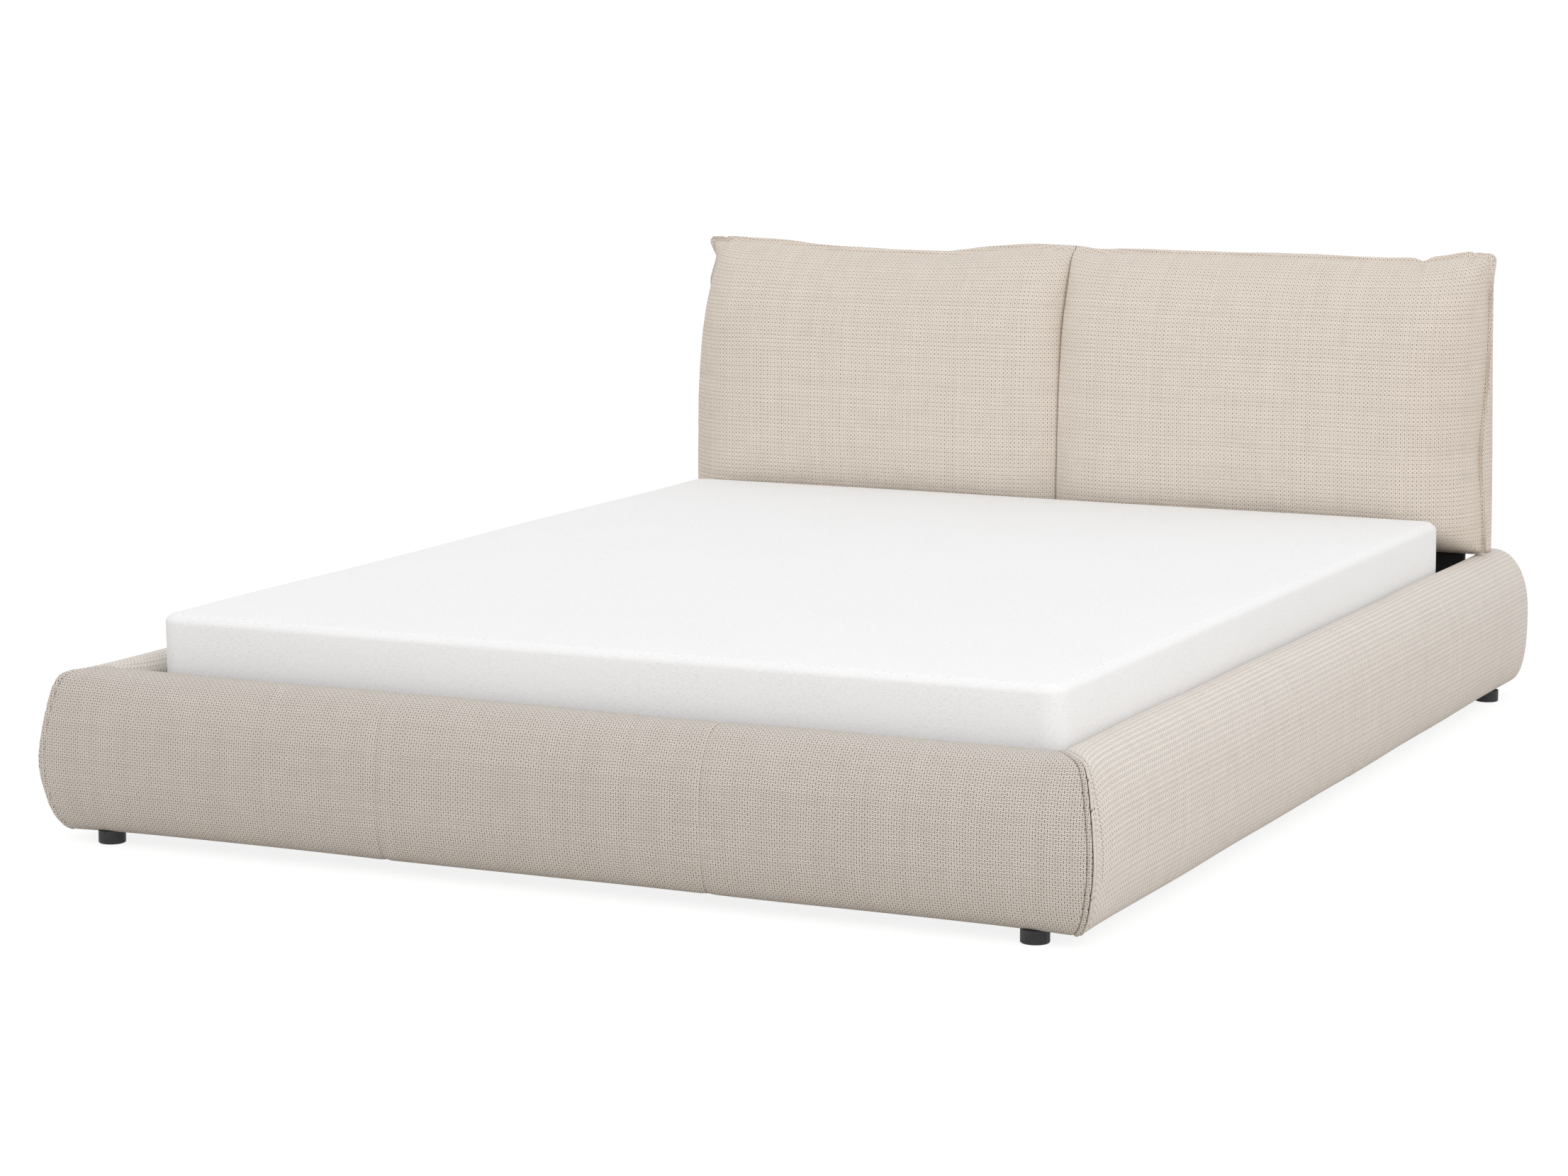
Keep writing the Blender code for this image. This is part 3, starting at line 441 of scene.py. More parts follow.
def band_weave(start):
    """Paint woven webbing: tight ribs across a pale band."""
    marks = place_of(start)
    parts = start.node("ShaderNodeSeparateXYZ", {0: marks})
    ribs = start.maths("SINE", parts.other(1) * 2800.0) * 0.5 + 0.5
    cords = start.maths("SINE", parts * 3600.0) * 0.5 + 0.5
    dirt = noise(start, marks, 30.0, 3.0)
    return {
        "Base Color": (ribs * 0.4 + cords * 0.3 + dirt * 0.3).mix((0.50, 0.50, 0.48), (0.80, 0.80, 0.78)),
        "Roughness": 0.85,
        "Normal": relief(start, ribs + cords * 0.6, 0.0005),
    }


def zinc_plate(start):
    """Paint bright zinc: cloudy spangle, thin scratches and a duller film."""
    place = place_of(start)
    spangle = start.node("ShaderNodeTexVoronoi", {"Vector": place, "Scale": 120.0}, output="Color")
    parts = start.node("ShaderNodeSeparateColor", {0: spangle})
    scratches = noise(start, place_of(start, (60.0, 900.0, 900.0)), 1.0, 2.0)
    film = noise(start, place, 25.0, 3.0)
    tone = parts * 0.35 + film * 0.65
    return {
        "Base Color": tone.mix((0.48, 0.49, 0.50), (0.74, 0.75, 0.76)),
        "Metallic": 1.0,
        "Roughness": 0.26 + film * 0.22 + scratches * 0.1,
        "Normal": relief(start, scratches, 0.0002),
    }


def powder_coat(start):
    """Paint satin black powder coat with its fine orange peel and a little dust."""
    peel = noise(start, place_of(start), 700.0, 2.0)
    dust = noise(start, place_of(start), 22.0, 4.0, 0.6)
    return {
        "Base Color": dust.step(0.45, 0.75).mix((0.018, 0.018, 0.019), (0.045, 0.044, 0.043)),
        "Roughness": 0.36 + dust * 0.2,
        "Normal": relief(start, peel, 0.00025),
    }


def moulded_plastic(start):
    """Paint black moulded plastic with a fine spark-eroded grain, paler where it rubs."""
    grain = start.node("ShaderNodeTexVoronoi", {"Vector": place_of(start), "Scale": 1500.0})
    rub = noise(start, place_of(start), 60.0, 3.0)
    return {
        "Base Color": rub.step(0.5, 0.8).mix((0.010, 0.010, 0.011), (0.028, 0.027, 0.026)),
        "Roughness": 0.42 + grain * 0.25,
        "Normal": relief(start, grain, 0.0002),
    }


def seam_tape(start):
    """Paint the dark brown sheet inside the mitres as painted shade of the gap, with fine ribs and lint."""
    ribs = noise(start, place_of(start, (900.0, 900.0, 200.0)), 1.0, 2.0)
    lint = noise(start, place_of(start), 60.0, 3.0)
    return {
        "Base Color": (ribs * 0.6 + lint * 0.4).mix((0.030, 0.020, 0.014), (0.11, 0.075, 0.05)),
        "Roughness": 0.95,
        "Normal": relief(start, ribs, 0.0003),
    }


def sewing_thread(start):
    """Paint polyester sewing thread with its twist; its dark brown is partly the thread's own colour and partly painted
    shade of the seams and valleys it lies in.
    """
    twist = noise(start, place_of(start, (3000.0, 3000.0, 1200.0)), 1.0, 1.0)
    return {
        "Base Color": twist.mix((0.13, 0.09, 0.065), (0.28, 0.20, 0.145)),
        "Roughness": 0.6,
        "Normal": relief(start, twist, 0.0001),
    }


def cloth_finish(context, part):
    """The weave of one part: the headboard, the foot rail or a side rail."""
    cloth = context.scene.bed_cloth
    thread = cloth.headboard_thread if part == "headboard" else cloth.rail_thread
    # Each part's own tint holds painted light: painted shade on the foot rail, painted light on the side rails and the
    # headboard
    weft = tuple(getattr(cloth, part))
    warp = tuple(channel * cloth.warp for channel in weft)
    gap = tuple(cloth.side_gap if part == "side" else cloth.gap)
    # Each part's rib, sway, strength of the painted groove shade on level threads, and its strength on every other row
    ways = {
        "side": (cloth.side_rib, 0.5, 0.2, 0.12),
        "foot": (0.0, 1.5, 0.85, 1.0),
        "headboard": (0.0, 1.0, 0.6, 0.5),
    }[part]
    return finish(f"{part}_cloth", woven(thread, cloth.relief, weft, warp, gap, *ways))


def grid_quads(index):
    """The faces of a grid of point numbers, four numbers for each."""
    sides = [index[..., :-1, :-1], index[..., :-1, 1:], index[..., 1:, 1:], index[..., 1:, :-1]]
    return np.stack(sides, axis=-1).reshape(-1, 4)


def face_outwards(mesh, weld=True):
    """Weld the doubled points of a mesh and turn its faces outwards."""
    shape = bmesh.new()
    shape.from_mesh(mesh)
    if weld:
        bmesh.ops.remove_doubles(shape, verts=shape.verts, dist=WELD)
    bmesh.ops.recalc_face_normals(shape, faces=shape.faces)
    shape.to_mesh(mesh)
    shape.free()


def summed(steps):
    """Running sum of steps, from zero."""
    return np.concatenate([[0.0], np.cumsum(steps)])


def thicken(piece, thickness, offset):
    """Give a sheet the thickness of its cloth."""
    wall = piece.modifiers.new("cloth thickness", "SOLIDIFY")
    wall.thickness = thickness
    wall.offset = offset


def skin(name, sheets, material, body, second=None):
    """Mesh over grids of points, each with its cloth marks in metres, welded along shared edges, faces outwards.

    second is another material and the mask of the faces that have it, row by row over all the grids.
    """
    verts, marks, faces = [], [], []
    base = 0
    for points, mark in sheets:
        rows, columns = points.shape[:2]
        index = np.arange(rows * columns).reshape(rows, columns) + base
        verts.append(points.reshape(-1, 3))
        marks.append(mark.reshape(-1, 2))
        faces.append(grid_quads(index))
        base += rows * columns
    verts, marks, faces = np.concatenate(verts), np.concatenate(marks), np.concatenate(faces)
    mesh = bpy.data.meshes.new(name)
    mesh.from_pydata(verts.tolist(), [], faces.tolist())
    layer = mesh.uv_layers.new(name=CLOTH_MAP)
    layer.data.foreach_set("uv", marks[faces.ravel()].ravel())
    if second:
        mesh.polygons.foreach_set("material_index", second[1].ravel().astype(np.int32))
    face_outwards(mesh)
    mesh.shade_smooth()
    made = adopt(name, mesh, material, body)
    if second:
        mesh.materials.append(second[0])
    return made


def adopt(name, mesh, material, body):
    """An object for a mesh, with its finish, riding on its body."""
    mesh.materials.append(material)
    made = bpy.data.objects.new(name, mesh)
    bpy.context.scene.collection.objects.link(made)
    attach(made, body)
    return made


def cloth_marks(points, start=(0, 0)):
    """Cloth coordinates of a grid: how far each point lies along its row and up its column, in metres from start."""
    along = np.linalg.norm(np.diff(points, axis=1), axis=2)
    upward = np.linalg.norm(np.diff(points, axis=0), axis=2)
    across = np.concatenate([np.zeros((len(points), 1)), np.cumsum(along, axis=1)], axis=1)
    rise = np.concatenate([np.zeros((1, points.shape[1])), np.cumsum(upward, axis=0)], axis=0)
    row, column = start
    return np.stack([across - across[:, column : column + 1], rise - rise[row : row + 1]], axis=-1)


def ease(value, low, high):
    """0 below low, 1 above high, and a smooth rise between."""
    share = np.clip((value - low) / (high - low), 0.0, 1.0)
    return share * share * (3 - 2 * share)


def stations(stops, spacing, fine, spots, reach):
    """Places from the first to the last stop, fine near the spots and spacing apart elsewhere.

    The density of places is one over the wanted step; its running sum, read at even shares, gives the places.
    """
    start, end = stops
    dense = np.linspace(start, end, 4000)
    near = np.min(np.abs(dense[:, None] - np.array(spots)[None, :]), axis=1)
    step = fine + (spacing - fine) * ease(near, 0.0, reach)
    running = summed(1 / step[1:] * np.diff(dense))
    count = int(math.ceil(running[-1]))
    return np.interp(np.linspace(0.0, running[-1], count + 1), running, dense)


def quarter(centre, radii, start, end, power=2.0):
    """Quarter of a superellipse: the cosine and sine of the angle, each to 2 / power, times the radii."""
    angle = np.radians(np.linspace(start, end, 160))
    across = np.sign(np.cos(angle)) * np.abs(np.cos(angle)) ** (2 / power)
    upward = np.sign(np.sin(angle)) * np.abs(np.sin(angle)) ** (2 / power)
    return np.column_stack([centre[0] + radii[0] * across, centre[1] + radii[1] * upward])


# The mitred end's outline from the crest to the sole: depth and drop from the top, in millimetres
MITRE_OUTLINE = (
    (28, 0), (48, 1), (64, 3), (75, 9), (82, 22), (87, 40), (91, 62), (95, 86), (98, 110),
    (100.5, 134), (101, 158), (99, 182), (95, 206), (90, 230), (81, 252), (68, 268),
)  # fmt: skip


def rail_outline(rail, mitred=False, count=125):
    """Closed outline of a padded rail as (depth, height) pairs, its outward normals and the cloth's length to each.

    It runs up the inner face, a quarter circle over the crest, a quarter superellipse down to the widest
    line, another in to the sole, and back along the sole round a small heel. At the mitred end a smooth
    curve through the measured outline takes the place of both superellipses.
    """
    widest = RAIL_LOW + (RAIL_TOP - RAIL_LOW) * rail.widest
    if mitred:
        knots = np.array([*MITRE_OUTLINE, (rail.sole * 1000, (RAIL_TOP - RAIL_LOW) * 1000)]) / 1000
        curve = cubic_weights(np.linspace(0.0, 1.0, 320), 0.0, 1 / (len(knots) - 1), len(knots)) @ knots
        outer = [np.column_stack([curve[:, 0], RAIL_TOP - curve[:, 1]])]
    else:
        outer = [
            quarter((rail.crest, widest), (RAIL_DEPTH - rail.crest, RAIL_TOP - widest), 90, 0, UPPER_POWER),
            quarter((rail.sole, widest), (RAIL_DEPTH - rail.sole, widest - RAIL_LOW), 0, -90, LOWER_POWER)[1:],
        ]
    outline = np.concatenate(
        [
            quarter((rail.crest, RAIL_TOP - rail.crest), (rail.crest, rail.crest), 180, 90)[:-1],
            *outer,
            quarter((HEEL, RAIL_LOW + HEEL), (HEEL, HEEL), -90, -180),
        ]
    )
    outline = np.concatenate([outline, outline[:1]])
    length = summed(np.linalg.norm(np.diff(outline, axis=0), axis=1))
    marks = np.linspace(0.0, length[-1], count)
    points = np.column_stack([np.interp(marks, length, outline[:, axis]) for axis in (0, 1)])
    wrapped = np.concatenate([points[-2:-1], points, points[1:2]])
    tangent = wrapped[2:] - wrapped[:-2]
    tangent /= np.linalg.norm(tangent, axis=1)[:, None]
    normals = np.column_stack([-tangent[:, 1], tangent[:, 0]])
    return points, normals, marks


def rail_section(rail, q):
    """Outlines and normals at distances q from the mitre, with the marks: the mitred end's, fading to the plain one."""
    points, normals, marks = rail_outline(rail)
    full, full_normals, _ = rail_outline(rail, True)
    share = np.exp(-np.asarray(q) / rail.full_reach)[:, None, None]
    normals = normals + (full_normals - normals) * share
    return points + (full - points) * share, normals / np.linalg.norm(normals, axis=2)[..., None], marks


def rail_waves(along, marks, seed):
    """Soft unevenness of the padding: a sum of five slow sine waves along and round the rail, in metres."""
    chance = np.random.default_rng(seed)
    total = np.zeros(np.broadcast(along, marks).shape)
    for _ in range(5):
        long_way, round_way = chance.uniform(3.0, 14.0), chance.uniform(6.0, 24.0)
        phase = chance.uniform(0, 2 * math.pi)
        total = total + np.sin(along * long_way + marks * round_way + phase) * chance.uniform(0.0002, 0.0006)
    return total


def seam_pull(along, marks, seam, seed):
    """How far a sewn seam draws the cover in: a soft valley, a narrow crack, and puckers that fade beside it."""
    chance = np.random.default_rng(seed)
    away = np.abs(along - seam)
    pull = 0.0012 * np.exp(-((away / 0.007) ** 2)) + 0.0018 * np.exp(-((away / 0.0010) ** 2))
    puckers = np.zeros(np.broadcast(along, marks).shape)
    for length in (0.017, 0.026, 0.041):
        puckers = puckers + np.sin(marks * 2 * math.pi / length + chance.uniform(0, 6.3) + away * 18)
    return pull + puckers * 0.00035 * np.exp(-away / 0.022) * (1 - np.exp(-((away / 0.004) ** 2)))


def edge_pull(near, marks, topstitch):
    """How far the cover curls in by its mitred edge: a small round at the edge, a puffed band and a stitched line."""
    radius = 0.0026
    turned = radius - np.sqrt(np.maximum(radius**2 - np.clip(radius - near, 0.0, radius) ** 2, 0.0))
    band = -0.0009 * np.sin(np.pi * np.clip(near / topstitch, 0.0, 1.0))
    line = 0.0024 * np.exp(-(((near - topstitch) / 0.0008) ** 2))
    beside = 0.0008 * np.exp(-np.clip(near - topstitch, 0.0, None) / 0.012)
    puckers = np.sin(marks * 2 * math.pi / 0.013) + np.sin(marks * 2 * math.pi / 0.021 + 1.0)
    return turned + band + line + beside + puckers * 0.00025 * np.exp(-np.abs(near - topstitch) / 0.008)


def half_rail(rail, length, seam, seed, rear=0.0):
    """Depth, place along and height of a rail's cover from its mitre over a length, as arrays.

    A column at distance q from the mitre stands q along the rail, slanted with the mitre near it and upright from
    35 cm on. The first columns close the mitred end towards the outline's middle; where rear is a radius, the last
    ones round the end off by that radius, less by the sharp heel, and close it. A share of the difference between
    the first and the last place round the rail is taken off all round, so that the outline stays closed.
    """
    topstitch = rail.topstitch
    q = stations((0.0, length), 0.016, 0.0011, [0.004, topstitch * 1.3, seam], 0.05)
    if rear:
        turn = np.linspace(0.0, math.pi / 2, 9)[1:]
        q = np.concatenate([q[q < length - rear], [length - rear], length - rear + rear * np.sin(turn)])
    closing = np.array(CLOSING_SHARES)
    close = np.concatenate([closing, np.zeros(len(q))])
    q = np.concatenate([np.zeros(len(closing)), q])
    if rear:
        q = np.concatenate([q, np.full(len(closing), length)])
        close = np.concatenate([close, closing[::-1]])
    past = np.clip(q - (length - rear), 0.0, rear) if rear else np.zeros(len(q))
    rounded = rear - np.sqrt(np.maximum(rear**2 - past**2, 0.0))
    slant = 1 - ease(q, 0.03, 0.35)
    points, normals, marks = rail_section(rail, q)
    q, close, slant, rounded = (array[:, None] for array in (q, close, slant, rounded))
    near = q / math.sqrt(2)
    heel = marks[np.argmin(points[-1].sum(axis=1))]
    rounded = np.minimum(rounded, 0.005 + 0.3 * np.abs(marks - heel))
    inset = edge_pull(near, marks, topstitch) + seam_pull(q, marks, seam, seed) + rail_waves(q, marks, seed) + rounded
    inset = inset - marks / marks[-1] * (inset[:, -1:] - inset[:, :1])
    depth = points[..., 0] - normals[..., 0] * inset
    height = points[..., 1] - normals[..., 1] * inset
    middle = points[0, :-1].mean(axis=0)
    depth = depth + (middle[0] - depth) * close
    height = height + (middle[1] - height) * close
    opening = MITRE_OPENING * np.exp(-((marks - 0.30) ** 2) / 0.006)
    along = q - depth * slant + opening * slant * np.exp(-q / 0.02)
    return depth, along, height, np.broadcast_to(marks, depth.shape)


def stitch_row(name, path, normals, length, gap, radius, body, slot="beige_fabric"):
    """Sewn stitches or staples along a path: one low round arch for each, set half into the cloth.

    A stitch is a tube of six sides and seven rings: its height is a half sine over the cloth, and its radius falls
    to nothing at both ends.
    """
    steps = summed(np.linalg.norm(np.diff(path, axis=0), axis=1))
    middles = np.arange(gap, steps[-1] - gap, length + gap)
    share = np.linspace(0.0, 1.0, 7)
    round_angle = np.linspace(0.0, 2 * math.pi, 7)

    def at(places):
        return np.stack([np.interp(places, steps, path[:, axis]) for axis in range(3)], axis=-1)

    ahead = at(middles + length / 2) - at(middles - length / 2)
    ahead /= np.linalg.norm(ahead, axis=1)[:, None]
    up = np.stack([np.interp(middles, steps, normals[:, axis]) for axis in range(3)], axis=-1)
    side = np.cross(ahead, up)
    side /= np.linalg.norm(side, axis=1)[:, None]
    up = np.cross(side, ahead)
    thick = radius * np.sqrt(np.maximum(np.sin(math.pi * share), 0.0))
    offset_along = (share - 0.5) * length
    offset_up = np.outer(np.sin(math.pi * share), np.ones(7)) * radius + np.outer(thick, np.sin(round_angle))
    offset_side = np.outer(thick, np.cos(round_angle))
    points = (
        at(middles)[:, None, None, :]
        + ahead[:, None, None, :] * offset_along[None, :, None, None]
        + up[:, None, None, :] * offset_up[None, :, :, None]
        + side[:, None, None, :] * offset_side[None, :, :, None]
    )
    count, rings, round_count = points.shape[:3]
    index = np.arange(points.size // 3).reshape(count, rings, round_count)
    mesh = bpy.data.meshes.new(name)
    mesh.from_pydata(points.reshape(-1, 3).tolist(), [], grid_quads(index).tolist())
    face_outwards(mesh)
    mesh.shade_smooth()
    # Stitches take the thread's dark brown, partly painted shade of the seam they lie in; staples take zinc
    material = finish("sewing_thread", sewing_thread) if slot == "beige_fabric" else finish("zinc_finish", zinc_plate)
    return adopt(name, mesh, material, body)


def line_normals(path, towards):
    """Directions square to a path, nearest to the given ones."""
    ahead = np.gradient(path, axis=0)
    ahead /= np.linalg.norm(ahead, axis=1)[:, None]
    up = towards - ahead * np.sum(towards * ahead, axis=1)[:, None]
    return up / np.linalg.norm(up, axis=1)[:, None]


class BED_OT_rails(bpy.types.Operator):
    """Cover the foot rail and both side rails, mitred at the front corners and drawn in at their seams"""

    bl_idname = "bed.rails"
    bl_label = "Padded Rails"

    def execute(self, context):
        rail = context.scene.bed_rails
        gap = MITRE_GAP
        # The dark sheet inside the mitres is painted shade of the gap
        mitre_shade_sheet = finish("seam_tape", seam_tape)
        side_length = RAIL_REAR - RAIL_FRONT - gap
        seam = rail.side_seam - RAIL_FRONT - gap
        for side, hand in ((-1, "left"), (1, "right")):
            depth, along, height, marks = half_rail(rail, side_length, seam, 11 + side, rail.end)
            y = along + RAIL_FRONT + gap
            points = np.stack([side * (HALF_CLEAR + depth), y, height], axis=-1)
            q = y[:, :1] + depth[:, :1] - RAIL_FRONT - gap
            q = np.maximum(q, 0.0)
            bent = np.stack([y, marks - rail.row_bend * np.exp(-q / 0.045) - 0.012 * np.exp(-q / 0.010)], axis=-1)
            flat = np.stack([depth, height], axis=-1)
            sheets = [(points[:-CLOSING], bent[:-CLOSING]), (points[-CLOSING - 1 :], flat[-CLOSING - 1 :])]
            # The closing faces inside the mitre take the painted shade
            in_mitre_shade = np.zeros((len(points) - 1, points.shape[1] - 1), bool)
            in_mitre_shade[:CLOSING] = True
            cloth = cloth_finish(context, "side")
            piece = skin(f"side_cover_{hand}", sheets, cloth, "frame", (mitre_shade_sheet, in_mitre_shade))
            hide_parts(f"side_rail_cover_{hand}", f"side_rail_padding_{hand}")

        length = HALF_CLEAR - gap
        depth, along, height, marks = half_rail(rail, length, length - rail.foot_seam, 5)
        left = np.stack([along - length, RAIL_FRONT - depth, height], axis=-1)
        depth, along, height, _ = half_rail(rail, length, length - rail.foot_seam, 6)
        right = np.stack([length - along, RAIL_FRONT - depth, height], axis=-1)[::-1]
        middle = (left[-1] + right[0]) / 2
        left[-1], right[0] = middle, middle
        points = np.concatenate([left, right[1:]])
        marks = np.broadcast_to(marks[:1], points.shape[:2])
        sheet = (points, np.stack([points[..., 0], marks], axis=-1))
        # The closing faces inside both mitres take the painted shade
        in_mitre_shade = np.zeros((len(points) - 1, points.shape[1] - 1), bool)
        in_mitre_shade[:CLOSING] = in_mitre_shade[-CLOSING:] = True
        piece = skin("foot_cover", [sheet], cloth_finish(context, "foot"), "frame", (mitre_shade_sheet, in_mitre_shade))
        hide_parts("foot_rail_cover", "foot_rail_padding")
        return {"FINISHED"}


class BED_OT_topstitch(bpy.types.Operator):
    """Sew the topstitched line on both sides of each mitred corner"""

    bl_idname = "bed.topstitch"
    bl_label = "Topstitching"

    def execute(self, context):
        rail = context.scene.bed_rails
        q = rail.topstitch * math.sqrt(2)
        points, normals, marks = rail_section(rail, [q])
        points, normals = points[0], normals[0]
        seen = (marks > 0.02) & (marks < 0.40)
        inset = 0.0022
        depth = points[seen, 0] - normals[seen, 0] * inset
        height = points[seen, 1] - normals[seen, 1] * inset
        gap = MITRE_GAP
        for side, hand in ((-1, "left"), (1, "right")):
            leaving = 0.012 + 0.022 * ease(marks[seen], 0.08, 0.24)
            own, own_normals, _ = rail_section(rail, leaving)
            picks = np.arange(seen.sum()), np.flatnonzero(seen)
            own, own_normals = own[picks], own_normals[picks]
            sunk = edge_pull(leaving / math.sqrt(2), marks[seen], rail.topstitch) + 0.0001
            sunk = sunk + rail_waves(leaving, marks[seen], 11 + side)
            own = own - own_normals * sunk[:, None]
            y = RAIL_FRONT + gap + leaving - own[:, 0]
            on_side = np.column_stack([side * (HALF_CLEAR + own[:, 0]), y, own[:, 1]])
            outward = np.column_stack([side * own_normals[:, 0], np.zeros(seen.sum()), own_normals[:, 1]])
            upper = marks[seen] < 0.27
            stitch_row(
                f"topstitch_side_{hand}",
                on_side[upper],
                line_normals(on_side, outward)[upper],
                0.0028,
                0.0022,
                0.00036,
                "frame",
            )
            on_foot = np.column_stack([side * (HALF_CLEAR - gap - q + depth), RAIL_FRONT - depth, height])
            outward = np.column_stack([np.zeros(seen.sum()), -normals[seen, 0], normals[seen, 1]])
            stitch_row(
                f"topstitch_foot_{hand}", on_foot, line_normals(on_foot, outward), 0.0046, 0.0007, 0.00045, "frame"
            )
        return {"FINISHED"}


# Drop of each cushion's top edge, every 5 cm from the crease outwards, in millimetres
TOP_EDGE = {
    "left": (5, 4, 4, 8, 13, 20, 26, 26, 25, 23, 22, 20, 17, 12, 10, 9, 7, 9),
    "right": (5, 10, 8, 7, 8, 8, 8, 8, 7, 7, 7, 8, 9, 9, 7, 2, -7, -4),
}

# How far each cushion's outer edge is drawn in, at even steps up its height, in millimetres
OUTER_EDGE = {
    "left": (4, 1, 0, 0, 0, 1, 4, 8, 13, 20, 28, 35, 24),
    "right": (-4, -2, 1, 5, 8, 6, 2, -1, -3, -4, -4, -5, -8),
}

# Share of the cushions' fullness at the crease, at even steps up their height, in thousandths
CREASE = (760, 760, 750, 735, 690, 610, 520, 430, 450)

# Puckers at the sewn edge: edge, place along it, depth, width, reach and slant
PUCKERS = {
    "left": (
        ("top", 0.70, 0.0030, 0.009, 0.030, -0.9),
        ("top", 0.775, 0.0026, 0.008, 0.026, 0.5),
        ("top", 0.60, 0.0022, 0.012, 0.040, -1.1),
        ("top", 0.44, 0.0016, 0.015, 0.045, -0.5),
        ("top", 0.22, 0.0016, 0.014, 0.040, 0.5),
        ("top", 0.03, 0.0030, 0.012, 0.030, 0.4),
        ("side", 0.55, 0.0025, 0.010, 0.030, 0.5),
        ("side", 0.40, 0.0018, 0.012, 0.030, -0.4),
        ("side", 0.18, 0.0020, 0.012, 0.030, 0.4),
    ),
    "right": (
        ("top", 0.735, 0.0050, 0.011, 0.030, -0.3),
        ("top", 0.775, 0.0045, 0.007, 0.022, 0.25),
        ("top", 0.815, 0.0030, 0.008, 0.022, 0.2),
        ("top", 0.62, 0.0018, 0.014, 0.040, 0.6),
        ("top", 0.40, 0.0014, 0.016, 0.045, 0.4),
        ("top", 0.20, 0.0014, 0.014, 0.040, -0.4),
        ("top", 0.02, 0.0030, 0.012, 0.030, -0.4),
        ("side", 0.53, 0.0040, 0.009, 0.024, 0.4),
        ("side", 0.44, 0.0020, 0.010, 0.026, -0.3),
        ("side", 0.27, 0.0040, 0.010, 0.028, -0.5),
        ("side", 0.15, 0.0035, 0.009, 0.026, 0.4),
        ("side", 0.055, 0.0030, 0.009, 0.022, 0.4),
    ),
}

# Dents in the cushions' top edge: place from the crease, depth and width, in metres
TOP_DENTS = {
    "left": ((0.812, 0.003, 0.004),),
    "right": ((0.713, 0.008, 0.012), (0.812, 0.003, 0.003)),
}


def roll(distance, radius, power=2.0):
    """Share of fullness at a distance from an edge: a quarter superellipse."""
    share = np.clip(distance / radius, 0.0, 1.0)
    return (1 - (1 - share) ** power) ** (1 / power)


def cubic_weights(places, first, step, count):
    """Matrix that reads a field, known at evenly spaced knots, at other places with Catmull-Rom weights."""
    share = np.clip((np.asarray(places) - first) / step, 0.0, count - 1.000001)
    base = share.astype(int)
    t = share - base
    weights = np.zeros((len(share), count))
    rows = np.arange(len(share))
    parts = (
        (-1, -t / 2 + t**2 - t**3 / 2),
        (0, 1 - 2.5 * t**2 + 1.5 * t**3),
        (1, t / 2 + 2 * t**2 - 1.5 * t**3),
        (2, t**3 / 2 - t**2 / 2),
    )
    for shift, part in parts:
        np.add.at(weights, (rows, np.clip(base + shift, 0, count - 1)), part)
    return weights


def smooth_table(places, last, values):
    """A smooth curve through values, given in millimetres at even steps from 0 to last, read at an array of places."""
    values = np.array(values, float) / 1000
    flat = np.ravel(places)
    weights = cubic_weights(flat, 0.0, last / (len(values) - 1), len(values))
    return (weights @ values).reshape(np.shape(places))


def cushion_fullness(cushion, hand, across, up, puckered=True):
    """How far a cushion's front stands out from its flat edge, across from the crease and up from its lowest edge.

    The product of four rolls, from the outer side, top, bottom and crease, less the puckers, which are valleys that
    run in from the sewn edge and fade.
    """
    height = CUSHION_TOP - CUSHION_LOW
    outer = CUSHION_WIDTH - cushion.flange - across
    low, high = up - cushion.low_flange, height - cushion.flange - up
    crease = smooth_table(up / height, 1.0, CREASE)
    inner = crease + (1 - crease) * roll(across, cushion.roll_crease)
    rise = (CUSHION_DEPTH - cushion.edge - cushion.room) * inner
    rise = rise * roll(outer, cushion.roll_outer, 2.2) * roll(high, cushion.roll_top, 2.1) * roll(low, cushion.roll_low)
    if puckered:
        inside = (np.minimum(np.minimum(outer, high), low) > 0).astype(float)
        for edge, place, deep, wide, reach, slant in PUCKERS[hand]:
            from_edge, along = (high, across) if edge == "top" else (outer, up)
            valley = np.exp(-(((along - place + slant * from_edge) / (wide + 0.25 * np.maximum(from_edge, 0.0))) ** 2))
            rise = rise - deep * valley * np.exp(-np.maximum(from_edge, 0.0) / reach) * roll(from_edge, 0.012) * inside
    slow = np.sin(across * 9.0 + up * 5.0) + np.sin(across * 5.0 - up * 13.0 + 1.0)
    return rise + slow * 0.0012 * ease(np.minimum(outer, np.minimum(high, low)), 0.0, 0.15)


